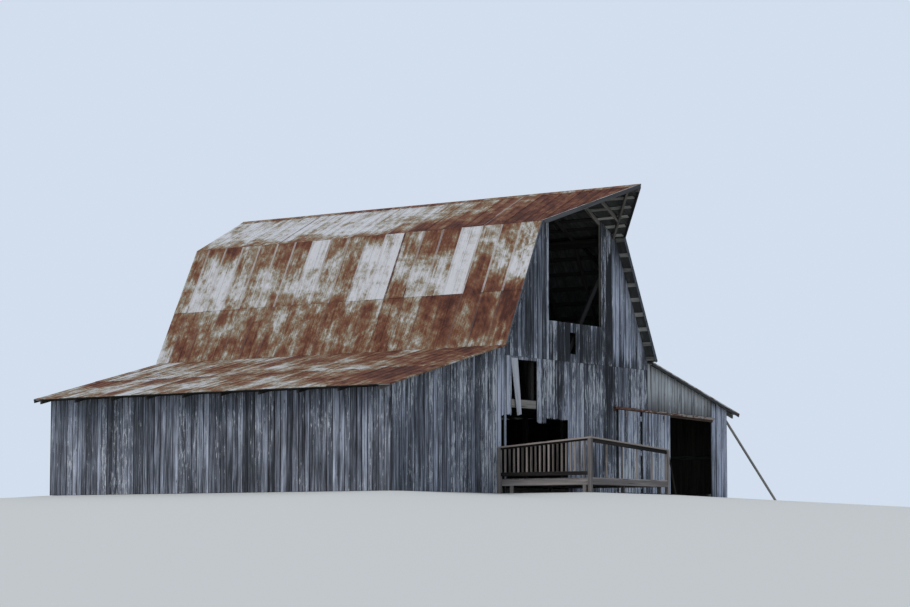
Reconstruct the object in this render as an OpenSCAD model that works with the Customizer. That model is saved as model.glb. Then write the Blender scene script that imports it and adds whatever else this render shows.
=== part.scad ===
// Weathered gambrel barn with a pointed hay hood, two lean-tos, a sliding door and a low deck.
// Millimetres. The origin is at ground level, at the middle of the front wall's outer face.
// X runs to the right along the front, Y runs back into the barn, Z is up.

/* [Main barn] */
// Length between the outer faces of the front and back boards
barn_len = 10850; // [8000:50:13000]
// Thickness of the wall boards
board_t = 25; // [20:1:35]
// Height of the joint between the lower boards and the gable boards
joint_h = 3400; // [3200:10:3500]
// Side of the square posts, sills and plates
post_w = 150; // [120:5:200]
// Number of bays between posts
bays = 4; // [3:1:6]
// Thickness of the girts behind the boards
girt_t = 50; // [40:5:60]
// Height of a girt
girt_w = 100; // [80:5:120]
// Height of the middle girt of the side walls above the ground
side_girt_h = 1250; // [900:10:1500]

/* [Gambrel roof] */
// Height of the ridge
ridge_h = 7850; // [7600:10:8300]
// Half width at the break between the two slopes
break_x = 1970; // [1800:10:2200]
// Height of the break
break_h = 6840; // [6600:10:7100]
// Half width at the eave of the steep slope
eave_x = 3590; // [3400:10:3900]
// Height of the eave of the steep slope
eave_h = 3630; // [3600:10:3900]
// Overhang of the roof past the front and back boards
rake = 300; // [200:10:450]
// Reach of the hay hood's tip in front of the boards
hood = 1980; // [1200:10:2500]
// Thickness of the roof sheets
sheet_t = 8; // [5:1:12]
// Thickness of the roof lath
lath_t = 25; // [20:1:30]
// Width of the roof lath
lath_w = 110; // [80:5:140]
// Distance of the outermost lath from the edges of each slope
lath_edge = 40; // [20:5:80]
// Largest distance between the laths of the upper, steep and lean-to slopes
upper_lath_step = 420; // [350:10:600]
steep_lath_step = 480; // [350:10:600]
lean_lath_step = 520; // [350:10:600]
// Depth of a rafter
rafter_d = 100; // [80:5:150]
// Thickness of a rafter
rafter_t = 50; // [40:5:60]
// Number of rafter frames
frames = 10; // [7:1:13]
// Distance of the hood's short rafters in front of the boards
hood_rafter_y = 570; // [500:10:800]
// Distance between a hood's slanted edge and its slanted rafter, seen from above
hood_inset = 270; // [200:5:300]
// Depth of the rake boards
rake_board_d = 85; // [70:5:130]
// Leg of the ridge cap on each side
cap_leg = 150; // [100:5:220]

/* [Lean-tos] */
// Half width over the outer faces of the side boards
lean_half = 7875; // [6500:25:8400]
// Reach of the lean-to roof past the side boards
lean_over = 475; // [300:5:600]
// Slope of the lean-to roof in degrees
lean_pitch = 14.1; // [12:0.1:15]
// Overhang of the lean-to roofs past the front and back boards
lean_rake = 150; // [100:10:300]
// Overhang of the left lean-to roof past the front boards
lean_rake_left = 290; // [100:10:300]

/* [Hay opening] */
// Half width of the hay opening
hay_half = 1240; // [1000:10:1400]
// Height of the hay opening's sill
hay_sill = 4400; // [4250:10:4700]
// Left edge of the slot under the hay opening
slot_x = -265; // [-500:5:0]
// Width of the slot
slot_w = 270; // [150:5:400]
// Height of the slot's lower end
slot_z = 3610; // [3550:5:3700]
// Length of the slot
slot_h = 540; // [300:5:600]

/* [Broken openings] */
// Left edge of the wide low doorway
low_left = -3170; // [-3200:5:-3100]
// Right edge of the wide low doorway
low_right = -380; // [-800:10:-200]
// Height of the low doorway's head
low_head = 1890; // [1700:10:2000]
// Width of the strip of board left beside the low doorway
strip_w = 105; // [80:5:120]
// Width of the slit where the end of the next board is missing
slit_w = 110; // [60:5:130]
// Left edge of the high doorway
high_left = -2935; // [-2980:5:-2850]
// Right edge of the high doorway
high_right = -1810; // [-2000:10:-1700]
// Height of the high doorway's head
high_head = 3320; // [3200:10:3340]
// Height of the lower end of the board stub between the doorways
stub_h = 1760; // [1650:10:1870]
// Width of the board stub
stub_w = 430; // [150:10:500]

/* [Loft] */
// Height of the upper face of the loft beams
beam_top = 2300; // [2200:10:2350]
// Depth of the loft beams
beam_d = 170; // [140:5:200]
// Thickness of the loft floor
floor_t = 30; // [25:1:40]
// Number of joists in a bay
joist_n = 5; // [3:1:7]
// Depth of a joist
joist_d = 100; // [80:5:120]
// Thickness of a joist
joist_t = 50; // [40:5:60]
// Side of the square purlin posts
purlin_w = 120; // [100:5:150]
// Depth of the purlin beams
purlin_d = 150; // [120:5:180]
// Leg of the knee braces
knee = 700; // [500:10:900]
// Width of the knee braces
knee_w = 80; // [60:5:100]
// Distance of the long brace's foot left of the middle
brace_foot = 1280; // [900:10:1500]
// Width of the long brace's foot
brace_w = 170; // [120:5:200]
// Gap between the long brace's head and the purlin beams
brace_gap = 25; // [10:5:60]
// Height of the upper gable girts above the hay opening's sill
girt_up = 1200; // [900:10:1400]

/* [Sliding door] */
// Left end of the door track
track_x = 1810; // [1700:10:1900]
// Length of the track along X
track_len = 5240; // [5150:10:5400]
// Height of the track's upper edge at its left end
track_h = 2360; // [2330:5:2380]
// Drop of the track from its left to its right end
track_drop = 100; // [0:5:140]
// Side of the square track section
track_w = 60; // [50:1:70]
// Wall of the track section
track_wall = 4; // [3:0.5:5]
// Width of the slot in the track's lower side
track_slot = 20; // [16:1:24]
// Depth of the board behind the track
track_board_d = 120; // [100:5:130]
// Left edge of the door leaf
leaf_x = 1950; // [1900:5:2000]
// Width of the door leaf
leaf_w = 2660; // [2500:10:2700]
// Height of the leaf's lower edge above the ground
leaf_z = 110; // [90:5:200]
// Thickness of the leaf's boards
leaf_board_t = 22; // [18:1:25]
// Thickness of the leaf's ledges
ledge_t = 22; // [18:1:25]
// Width of the leaf's ledges
ledge_w = 140; // [100:5:180]
// Distance from the leaf's left edge to its missing board
leaf_gap_x = 1100; // [800:10:1400]
// Width of the missing board
leaf_gap_w = 115; // [60:5:150]
// Gap between the leaf and the track board
leaf_clear = 8; // [6:1:12]
// Length of the hanger straps down the leaf
strap_len = 220; // [200:10:400]
// Radius of the hanger wheels
wheel_r = 21; // [18:0.5:22]
// Left edge of the doorway behind the door
door_left = 4610; // [4500:10:4700]
// Right edge of the doorway behind the door
door_right = 6980; // [6800:10:7040]
// Height of the doorway's head
door_head = 2190; // [2150:10:2200]

/* [Deck] */
// Left edge of the deck frame
deck_left = -3496; // [-3540:5:-3400]
// Right edge of the deck frame
deck_right = 10; // [-200:10:400]
// Depth of the deck in front of the wall
deck_y = 2695; // [2000:5:3200]
// Height of the deck floor
deck_h = 350; // [300:5:400]
// Thickness of the deck floor
deck_t = 30; // [25:1:40]
// Number of joists under the deck
deck_joists = 7; // [5:2:9]
// Depth of the deck's joists
deck_joist_d = 140; // [100:5:160]
// Side of the square deck posts
deck_post = 90; // [80:5:110]
// Height of the rail at the deck's corner
rail_h = 1320; // [1200:10:1400]
// Drop of the rail from the corner to each end
rail_drop = 190; // [0:10:220]
// Thickness of the top rail
rail_t = 36; // [30:1:50]
// Width of the balusters
baluster_w = 38; // [30:1:50]
// Gap under the lower rail
rail_lift = 60; // [50:5:120]
// Depth of the lower rail and of the board under the top rail
rail_d = 90; // [70:5:110]
// Number of balusters beside the deck
side_balusters = 19; // [12:1:22]
// Number of balusters left in the front rail
front_balusters = 4; // [3:1:6]
// Height at which the thin pole leans on the deck's end post
pole_h = 1080; // [900:10:1120]
// Distance of the thin pole's foot from the end post
pole_out = 370; // [200:10:600]
// Radius of the thin pole
pole_r = 18; // [14:1:25]

/* [Prop and loose board] */
// Distance of the prop's foot from the side wall
prop_out = 2100; // [1500:10:2600]
// Distance of the prop's foot in front of the wall
prop_fwd = 400; // [0:10:800]
// Height at which the prop leans on the wall
prop_h = 2250; // [2000:10:2280]
// Radius of the prop
prop_r = 36; // [30:1:60]
// Length of the loose board
loose_len = 1445; // [1200:5:1600]
// Width of the loose board's upper end
loose_top_w = 290; // [200:5:320]
// Width of the loose board's lower end
loose_w = 180; // [140:5:200]
// Lean of the loose board in degrees
loose_tilt = 11; // [5:0.5:13]
// Reach of the loose board left of the high doorway's edge
loose_out = 50; // [20:5:80]
// Lap of the loose board over the high doorway's head
loose_lap = 30; // [10:5:60]

/* [Hidden] */

timber = "#8a8c90";
dark_timber = "#6d6963";
faded_paint = "#b4b8ba";
rust_sheet = "#9a5a44";
pale_sheet = "#b9b4ad";
iron = "#6e4a38";
deck_wood = "#86786a";

// Seat left between pieces that bear on each other at a slope
seat = 0.3;
// Slope angles and lengths of the gambrel roof
upper_a = atan((ridge_h - break_h) / break_x);
steep_a = atan((break_h - eave_h) / (eave_x - break_x));
upper_len = break_x / cos(upper_a);
steep_len = (eave_x - break_x) / cos(steep_a);
// Depths below the roof's outer face, square to the slope
lath_depth = sheet_t + seat;
frame_depth = lath_depth + lath_t + seat;
rafter_depth = frame_depth + rafter_d;
// Half thickness and depth of the ridge board
ridge_half = 15;
ridge_board_d = 150;
ridge_board_top = upper_at(ridge_half, frame_depth);
ridge_board_low = ridge_board_top - ridge_board_d;
// Distance along the barn for each unit of distance square to the hood's edge, seen from above
hood_skew = norm([break_x, hood - rake]) / break_x;
// Lean-to roof: its outer face passes just under the steep slope's eave
lean_lap = 12;
lean_in = eave_x - 15;
lean_tip = lean_half + lean_over;
// Plates, posts and side walls
plate_top = eave_h - 30;
plate_out = steep_at(plate_top, frame_depth);
plate_in = plate_out - post_w;
lean_post_out = lean_half - board_t;
lean_post_in = lean_post_out - post_w;
lean_plate_top = lean_at(lean_post_in, rafter_depth);
// The door track's slope, and the planes that the door runs in
track_a = atan(track_drop / track_len);
track_mid_y = -board_t - track_w / 2;
leaf_back_y = -board_t - leaf_clear;
hanger_in = 350;
hanger_gap = 6;
strap_t = 6;
leaf_drop = hanger_gap + strap_t + 4;
// Distance of lath ends behind the roof's edge: behind a rake board, and where there is none
lath_behind = board_t + 2;
lath_inset = 5;
// Length of the lean-to slope outside the main eave
lean_len = (lean_tip - eave_x) / cos(lean_pitch);
// Purlin line
purlin_out = break_at(rafter_depth)[0];
purlin_in = purlin_out - purlin_w;
purlin_bottom = break_at(rafter_depth)[1] - purlin_d;

// Height of the upper slope at a distance x from the middle and a depth d below its face
function upper_at(x, d) = ridge_h - d / cos(upper_a) - x * tan(upper_a);
// Distance from the middle of the steep slope at a height z and a depth d
function steep_at(z, d) = break_x + (break_h - z) / tan(steep_a) - d / sin(steep_a);
// Height of the lean-to roof at a distance x from the middle and a depth d
function lean_at(x, d) =
  eave_h - lean_lap - (x - eave_x) * tan(lean_pitch) - d / cos(lean_pitch);
// Corner between the two slopes at a depth d
function break_at(d) =
  let (k = d / (1 + cos(steep_a - upper_a)))
  [break_x - k * (sin(upper_a) + sin(steep_a)), break_h - k * (cos(upper_a) + cos(steep_a))];
// Reach of the hood in front of the wall at a distance x from the middle
function hood_at(x) = rake + (hood - rake) * (1 - x / break_x);
// Middle of post i and of rafter frame i along the barn
function post_y(i) = board_t + post_w / 2 + i * (barn_len - 2 * board_t - post_w) / bays;
function frame_y(i) =
  board_t + rafter_t / 2 + i * (barn_len - 2 * board_t - rafter_t) / (frames - 1);
// Middle of purlin post i, kept behind the end walls' girts and the long brace
function purlin_y(i) =
  let (first = board_t + girt_t + rafter_t + seat + purlin_w / 2)
  first + i * (barn_len - 2 * first) / bays;
// Distance from the middle to the line that runs a distance off behind the hood's edge, at y
function hood_edge_x(y, off) = (y + hood - off * hood_skew) * break_x / (hood - rake);
// Height of the track's upper edge at x
function track_at(x) = track_h - (x - track_x) * tan(track_a);

module box(x0, x1, y0, y1, z0, z1) {
  translate([x0, y0, z0]) cube([x1 - x0, y1 - y0, z1 - z0]);
}

// Plate with an outline in X and Z, from y0 to y0 + t
module upright(points, y0, t) {
  translate([0, y0 + t, 0]) rotate([90, 0, 0]) linear_extrude(t) polygon(points);
}

// Plate with an outline in Y and Z, from x0 to x0 + t
module upright_yz(points, x0, t) {
  translate([x0, 0, 0]) rotate([90, 0, 90]) linear_extrude(t) polygon(points);
}

module both_sides() {
  children();
  mirror([1, 0, 0]) children();
}

// Places a flat shape on the right upper slope: its x runs down the slope from the ridge,
// its y along the barn, and its thickness goes from depth d0 to depth d1
module on_upper_slope(d0, d1) {
  translate([0, 0, ridge_h]) rotate([0, upper_a, 0])
    translate([0, 0, -d1]) linear_extrude(d1 - d0) children();
}

module on_steep_slope(d0, d1) {
  translate([break_x, 0, break_h]) rotate([0, steep_a, 0])
    translate([0, 0, -d1]) linear_extrude(d1 - d0) children();
}

module on_lean_slope(d0, d1) {
  translate([eave_x, 0, eave_h - lean_lap]) rotate([0, lean_pitch, 0])
    translate([0, 0, -d1]) linear_extrude(d1 - d0) children();
}

// Gable boards on one side of the hay opening, from the board joint to the roof
module gable_side() {
  upright([
    [hay_half, joint_h], [plate_out, joint_h], [plate_out, plate_top],
    break_at(frame_depth), [hay_half, upper_at(hay_half, frame_depth)]
  ], 0, board_t);
}

module gable_left_boards() {
  color(timber) mirror([1, 0, 0]) gable_side();
}

module gable_right_boards() {
  color(timber) gable_side();
}

// Boards under the hay opening, with the upright slot
module gable_slot_panel() {
  color(timber) difference() {
    box(-hay_half, hay_half, 0, board_t, joint_h, hay_sill);
    box(slot_x, slot_x + slot_w, -1, board_t + 1, slot_z, slot_z + slot_h);
  }
}

// Boards left of and over the broken doorways, with the slit of a missing board end
module front_wall_left() {
  slit = low_left - strip_w;
  color(timber) upright([
    [-plate_out, 0], [slit - slit_w, 0], [slit - slit_w, low_head], [slit, low_head], [slit, 0],
    [low_left, 0], [low_left, low_head], [high_left, low_head], [high_left, high_head],
    [high_right, high_head], [high_right, stub_h], [high_right + stub_w, stub_h],
    [high_right + stub_w, low_head], [low_right, low_head], [low_right, joint_h],
    [-plate_out, joint_h]
  ], 0, board_t);
}

// Boards right of the low doorway, running on behind the sliding door
module front_wall_center() {
  color(timber) upright([
    [low_right, 0], [door_left, 0], [door_left, door_head], [plate_out, door_head],
    [plate_out, joint_h], [low_right, joint_h]
  ], 0, board_t);
}

// Boards over the doorway of the right lean-to
module leanto_gable_right() {
  color(faded_paint) upright([
    [plate_out, door_head], [door_right, door_head],
    [door_right, lean_at(door_right, frame_depth)], [plate_out, lean_at(plate_out, frame_depth)]
  ], 0, board_t);
}

module leanto_corner_right() {
  color(timber) upright([
    [door_right, 0], [lean_half, 0], [lean_half, lean_at(lean_half, frame_depth)],
    [door_right, lean_at(door_right, frame_depth)]
  ], 0, board_t);
}

module leanto_front_left() {
  color(timber) mirror([1, 0, 0]) upright([
    [plate_out, 0], [lean_half, 0], [lean_half, lean_at(lean_half, frame_depth)],
    [plate_out, lean_at(plate_out, frame_depth)]
  ], 0, board_t);
}

// Outer walls of both lean-tos
module side_walls() {
  color(timber) both_sides() upright([
    [lean_post_out, 0], [lean_half, 0], [lean_half, lean_at(lean_half, rafter_depth)],
    [lean_post_out, lean_at(lean_half, rafter_depth)]
  ], board_t, barn_len - 2 * board_t);
}

// Back gable, notched round the ridge board
module back_gable() {
  half = ridge_half + seat;
  notch = ridge_board_low - seat;
  color(timber) upright([
    [-plate_out, joint_h], [plate_out, joint_h], [plate_out, plate_top],
    break_at(frame_depth), [half, upper_at(half, frame_depth)], [half, notch],
    [-half, notch], [-half, upper_at(half, frame_depth)],
    [-break_at(frame_depth)[0], break_at(frame_depth)[1]], [-plate_out, plate_top]
  ], barn_len - board_t, board_t);
}

module back_wall() {
  main = [[plate_out, joint_h]];
  side = [
    [plate_out, lean_at(plate_out, frame_depth)], [lean_half, lean_at(lean_half, frame_depth)],
    [lean_half, 0]
  ];
  color(timber) upright(concat(
    main, side, [[-lean_half, 0]],
    [[-lean_half, lean_at(lean_half, frame_depth)], [-plate_out, lean_at(plate_out, frame_depth)]],
    [[-plate_out, joint_h]]
  ), barn_len - board_t, board_t);
}

// Upper slope with its half of the pointed hood, mitred at the ridge and at the break
module upper_sheet() {
  intersection() {
    upright([[seat, ridge_h], break_at(0), break_at(sheet_t), [seat, upper_at(0, sheet_t)]],
      -hood, hood + barn_len + rake);
    linear_extrude(ridge_h + 1) polygon([
      [0, -hood], [break_x, -rake], [break_x, barn_len + rake], [0, barn_len + rake]
    ]);
  }
}

module steep_sheet() {
  end = [eave_x, eave_h];
  upright([
    break_at(0) + [0, -seat], end, end - sheet_t * [sin(steep_a), cos(steep_a)],
    break_at(sheet_t) + [0, -seat]
  ], -rake, barn_len + 2 * rake);
}

// Lean-to slope whose front edge lies a distance front before the boards
module leanto_sheet(front) {
  upright([
    [lean_in, lean_at(lean_in, 0)], [lean_tip, lean_at(lean_tip, 0)],
    [lean_tip, lean_at(lean_tip, sheet_t)], [lean_in, lean_at(lean_in, sheet_t)]
  ], -front, front + barn_len + lean_rake);
}

module roof_upper_left() {
  color(rust_sheet) mirror([1, 0, 0]) upper_sheet();
}

module roof_upper_right() {
  color(rust_sheet) upper_sheet();
}

module roof_steep_left() {
  color(pale_sheet) mirror([1, 0, 0]) steep_sheet();
}

module roof_steep_right() {
  color(pale_sheet) steep_sheet();
}

module roof_leanto_left() {
  color(rust_sheet) mirror([1, 0, 0]) leanto_sheet(lean_rake_left);
}

module roof_leanto_right() {
  color(rust_sheet) leanto_sheet(lean_rake);
}

// Folded cap over the ridge
module ridge_cap() {
  cap_t = 4;
  leg = [cap_leg * cos(upper_a), -cap_leg * sin(upper_a)];
  under = [0, ridge_h + seat];
  over = under + [0, cap_t / cos(upper_a)];
  color(rust_sheet) upright([
    over, over + leg, under + leg, under,
    under + [-leg[0], leg[1]], over + [-leg[0], leg[1]]
  ], -hood, hood + barn_len + rake);
}

// Lath under the sheets of one side. The boards of the upper slope stop behind the hood's rake board,
// and those of the lean-to reach a distance lean_front before the wall.
module lath_side(lean_front) {
  edge = lath_w / 2 + lath_edge;
  upper_n = ceil((upper_len - 2 * edge) / upper_lath_step);
  steep_n = ceil((steep_len - 2 * edge) / steep_lath_step);
  lean_n = ceil((lean_len - 2 * edge) / lean_lath_step);
  for (i = [0 : upper_n]) {
    s = edge + i * (upper_len - 2 * edge) / upper_n;
    front = hood_at((s + lath_w / 2) * cos(upper_a)) - 2 * lath_behind;
    on_upper_slope(lath_depth, lath_depth + lath_t)
      translate([s - lath_w / 2, -front]) square([lath_w, front + barn_len + rake - lath_behind]);
  }
  for (i = [0 : steep_n]) {
    s = edge + i * (steep_len - 2 * edge) / steep_n;
    on_steep_slope(lath_depth, lath_depth + lath_t)
      translate([s - lath_w / 2, lath_inset - rake])
      square([lath_w, barn_len + 2 * (rake - lath_inset)]);
  }
  for (i = [0 : lean_n]) {
    s = edge + i * (lean_len - 2 * edge) / lean_n;
    on_lean_slope(lath_depth, lath_depth + lath_t)
      translate([s - lath_w / 2, -lean_front])
      square([lath_w, lean_front + barn_len + lean_rake - lath_behind]);
  }
}

module roof_lath() {
  color(dark_timber) {
    lath_side(lean_rake - lath_behind);
    mirror([1, 0, 0]) lath_side(lean_rake_left - lath_inset);
  }
}

module upper_rafters() {
  color(dark_timber) both_sides() for (i = [0 : frames - 1])
    upper_layer(frame_depth, rafter_depth, ridge_half + seat, frame_y(i) - rafter_t / 2, rafter_t);
}

module steep_rafters() {
  color(dark_timber) both_sides() for (i = [0 : frames - 1])
    upright([
      break_at(frame_depth) + [0, -seat], [plate_out, plate_top + seat],
      [steep_at(plate_top, rafter_depth), plate_top + seat], break_at(rafter_depth) + [0, -seat]
    ], frame_y(i) - rafter_t / 2, rafter_t);
}

// Lean-to rafters with a notch that seats on the lean-to plate
module leanto_rafters() {
  top = plate_out + seat;
  tail = lean_tip - 60;
  color(dark_timber) both_sides() for (i = [0 : frames - 1])
    upright([
      [top, lean_at(top, frame_depth)], [tail, lean_at(tail, frame_depth)],
      [tail, lean_at(tail, rafter_depth)], [lean_half, lean_at(lean_half, rafter_depth)],
      [lean_half, lean_plate_top + seat], [lean_post_in, lean_plate_top + seat],
      [top, lean_at(top, rafter_depth)]
    ], frame_y(i) - rafter_t / 2, rafter_t);
}

// Board along the ridge, which carries the hood out to its tip
module ridge_board() {
  color(dark_timber)
    box(-ridge_half, ridge_half, -hood_at(ridge_half) + board_t * hood_skew + seat,
      barn_len + rake - board_t - seat, ridge_board_low, ridge_board_top);
}

// Layer of the right upper slope between two depths, mitred at the break
module upper_layer(d0, d1, x0, y0, length) {
  upright([[x0, upper_at(x0, d0)], break_at(d0), break_at(d1), [x0, upper_at(x0, d1)]],
    y0, length);
}

// Part of such a layer that lies between two distances from the hood's slanted edge
module hood_strip(d0, d1, x0, off0, off1) {
  y0 = off0 * hood_skew;
  y1 = off1 * hood_skew;
  intersection() {
    upper_layer(d0, d1, x0, -hood, hood);
    linear_extrude(ridge_h) polygon([
      [0, y0 - hood], [break_x, y0 - rake], [break_x, y1 - rake], [0, y1 - hood]
    ]);
  }
}

// Under the hood on each side: a rafter along the slanted edge, and a short rafter up to the ridge
module hood_rafters() {
  half = ridge_half + seat;
  inner = hood_inset + rafter_t + seat;
  y0 = -hood_rafter_y - rafter_t / 2;
  y1 = -hood_rafter_y + rafter_t / 2;
  color(dark_timber) both_sides() {
    hood_strip(frame_depth, rafter_depth, half, hood_inset, hood_inset + rafter_t);
    intersection() {
      upper_layer(frame_depth, rafter_depth, half, -hood, hood);
      linear_extrude(ridge_h) polygon([
        [0, y0], [hood_edge_x(y0, inner), y0], [hood_edge_x(y1, inner), y1], [0, y1]
      ]);
    }
  }
}

// Rake boards: along the hood's two slanted edges, along the back, and at the front of the right
// lean-to only
module rake_boards() {
  color(timber) {
    both_sides() {
      hood_strip(lath_depth, lath_depth + rake_board_d, seat, 0, board_t);
      upper_layer(lath_depth, lath_depth + rake_board_d, seat, barn_len + rake - board_t, board_t);
      leanto_rake_board(barn_len + lean_rake - board_t);
    }
    leanto_rake_board(-lean_rake);
  }
}

module leanto_rake_board(y) {
  clear = 20;
  on_lean_slope(lath_depth, lath_depth + rake_board_d)
    translate([clear, y]) square([lean_len - clear, board_t]);
}

// Beams along the barn under the breaks, bevelled to the upper rafters
module purlin_beams() {
  color(dark_timber) both_sides() upright([
    [purlin_in, purlin_bottom], [purlin_out - seat, purlin_bottom],
    [purlin_out - seat, upper_at(purlin_out, rafter_depth) - seat],
    [purlin_in, upper_at(purlin_in, rafter_depth) - seat]
  ], board_t + girt_t, barn_len - 2 * (board_t + girt_t));
}

module purlin_posts() {
  color(dark_timber) both_sides() for (i = [0 : bays])
    box(purlin_in, purlin_out - seat, purlin_y(i) - purlin_w / 2, purlin_y(i) + purlin_w / 2,
      beam_top + floor_t, purlin_bottom);
}

// Knee braces between purlin posts and purlin beams, and the long brace behind the hay opening
module braces() {
  top = purlin_bottom;
  cut = knee_w * sqrt(2);
  face = purlin_w / 2;
  x0 = (purlin_in + purlin_out - rafter_t) / 2;
  color(dark_timber) {
    both_sides() for (i = [0 : bays]) {
      y = purlin_y(i);
      if (i < bays)
        upright_yz([
          [y + face, top - knee], [y + face + knee, top], [y + face + knee - cut, top],
          [y + face, top - knee + cut]
        ], x0, rafter_t);
      if (i > 0)
        upright_yz([
          [y - face, top - knee], [y - face - knee, top], [y - face - knee + cut, top],
          [y - face, top - knee + cut]
        ], x0, rafter_t);
    }
    long_brace();
  }
}

// The long brace leans across the loft behind the end wall, in front of the first purlin posts
module long_brace() {
  foot = [-brace_foot, beam_top + floor_t];
  head = [purlin_out, purlin_bottom - brace_gap];
  run = head - foot;
  upright([foot, foot + [brace_w, 0], head - [0, brace_w * run[1] / run[0]], head],
    board_t + girt_t + seat / 2, rafter_t);
}

// Main plates and lean-to plates, one along each row of posts
module wall_plates() {
  color(dark_timber) both_sides() {
    box(plate_in, plate_out, board_t, barn_len - board_t, plate_top - post_w, plate_top);
    box(lean_post_in, lean_post_out, board_t, barn_len - board_t,
      lean_plate_top - post_w, lean_plate_top);
  }
}

// Posts under the plates, loft posts inside and the jambs of the hay opening
module wall_posts() {
  half = post_w / 2;
  color(dark_timber) both_sides() {
    for (i = [0 : bays]) {
      box(plate_in, plate_out, post_y(i) - half, post_y(i) + half, post_w, plate_top - post_w);
      box(lean_post_in, lean_post_out, post_y(i) - half, post_y(i) + half,
        post_w, lean_plate_top - post_w);
    }
    for (i = [1 : bays - 1])
      box(purlin_in, purlin_out, post_y(i) - purlin_w / 2, post_y(i) + purlin_w / 2,
        0, beam_top - beam_d);
    upright([
      [hay_half, hay_sill], [hay_half + girt_w, hay_sill],
      [hay_half + girt_w, upper_at(hay_half + girt_w, rafter_depth) - seat],
      [hay_half, upper_at(hay_half, rafter_depth) - seat]
    ], board_t, girt_t);
  }
}

// Sills on the ground under the posts, left out across the doorway of the right lean-to
module sill_beams() {
  front = board_t;
  back = barn_len - board_t;
  color(dark_timber) {
    both_sides() {
      box(plate_in, plate_out, front + post_w, back - post_w, 0, post_w);
      box(lean_post_in, lean_post_out, front + post_w, back - post_w, 0, post_w);
    }
    box(-lean_post_out, door_left, front, front + post_w - seat, 0, post_w);
    box(door_right, lean_post_out, front, front + post_w - seat, 0, post_w);
    box(-lean_post_out, lean_post_out, back - post_w + seat, back, 0, post_w);
  }
}

// Girts behind the boards of the end walls and side walls
module wall_girts() {
  head = door_head;
  color(dark_timber) {
    for (y = [board_t, barn_len - board_t - girt_t]) {
      end_wall_girt(y, joint_h - girt_w / 2, plate_in);
      end_wall_girt(y, hay_sill - girt_w, steep_at(hay_sill, rafter_depth));
      both_sides() {
        z = hay_sill + girt_up;
        box(hay_half + girt_w, steep_at(z, rafter_depth) - seat, y, y + girt_t, z - girt_w, z);
        box(plate_out, lean_post_in, y, y + girt_t, head, head + girt_w);
      }
      mirror([1, 0, 0])
        box(plate_out, lean_post_in, y, y + girt_t, side_girt_h - girt_w, side_girt_h);
    }
    both_sides() for (i = [0 : bays - 1])
      box(lean_post_out - girt_t, lean_post_out, post_y(i) + post_w / 2,
        post_y(i + 1) - post_w / 2, side_girt_h - girt_w, side_girt_h);
  }
}

module end_wall_girt(y, z, half) {
  box(-half + seat, half - seat, y, y + girt_t, z, z + girt_w);
}

// Beams across the main barn between its posts
module loft_beams() {
  color(dark_timber) for (i = [0 : bays])
    box(-plate_in + seat, plate_in - seat, post_y(i) - post_w / 2, post_y(i) + post_w / 2,
      beam_top - beam_d, beam_top);
}

module loft_joists() {
  step = 2 * plate_in / (joist_n + 1);
  color(dark_timber) for (i = [0 : bays - 1], k = [1 : joist_n])
    box(-plate_in + k * step - joist_t / 2, -plate_in + k * step + joist_t / 2,
      post_y(i) + post_w / 2 + seat, post_y(i + 1) - post_w / 2 - seat,
      beam_top - joist_d, beam_top);
}

module loft_floor() {
  color(dark_timber) box(-plate_in + seat, plate_in - seat, board_t, barn_len - board_t,
    beam_top, beam_top + floor_t);
}

// Places a shape drawn from the track's left end, x along the track and z down from its top
module along_track() {
  translate([track_x, 0, track_h]) rotate([0, track_a, 0]) children();
}

module track_board() {
  color(iron) along_track() box(0, track_len, -board_t, 0, -track_board_d, 0);
}

// Box track with a slot along its lower side
module door_track() {
  half = track_w / 2;
  slot = track_slot / 2;
  wall = track_wall;
  color(iron) along_track() translate([0, track_mid_y, -track_w]) rotate([90, 0, 90])
    linear_extrude(track_len) polygon([
      [-half, 0], [-slot, 0], [-slot, wall], [-half + wall, wall], [-half + wall, track_w - wall],
      [half - wall, track_w - wall], [half - wall, wall], [slot, wall], [slot, 0], [half, 0],
      [half, track_w], [-half, track_w]
    ]);
}

// Door leaf: upright boards on three ledges, with one board missing
module sliding_door() {
  right = leaf_x + leaf_w;
  front = leaf_back_y - ledge_t - leaf_board_t;
  gap = leaf_x + leaf_gap_x;
  drop = track_w + leaf_drop;
  color(timber) difference() {
    union() {
      leaf_panel(leaf_x, gap, front, leaf_board_t, drop);
      leaf_panel(gap + leaf_gap_w, right, front, leaf_board_t, drop);
      for (z = [leaf_z + 100, (leaf_z + track_at(right) - drop) / 2,
          track_at(right) - drop - ledge_w - 60])
        box(leaf_x + 60, right - 60, leaf_back_y - ledge_t, leaf_back_y, z, z + ledge_w);
    }
  }
}

module leaf_panel(x0, x1, y, t, drop) {
  upright([[x0, leaf_z], [x1, leaf_z], [x1, track_at(x1) - drop], [x0, track_at(x0) - drop]],
    y, t);
}

// Two trolleys: wheels inside the track, a stem through its slot and a strap on the leaf
module door_hangers() {
  for (x = [leaf_x + hanger_in, leaf_x + leaf_w - hanger_in]) color(iron) door_hanger(x);
}

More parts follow.
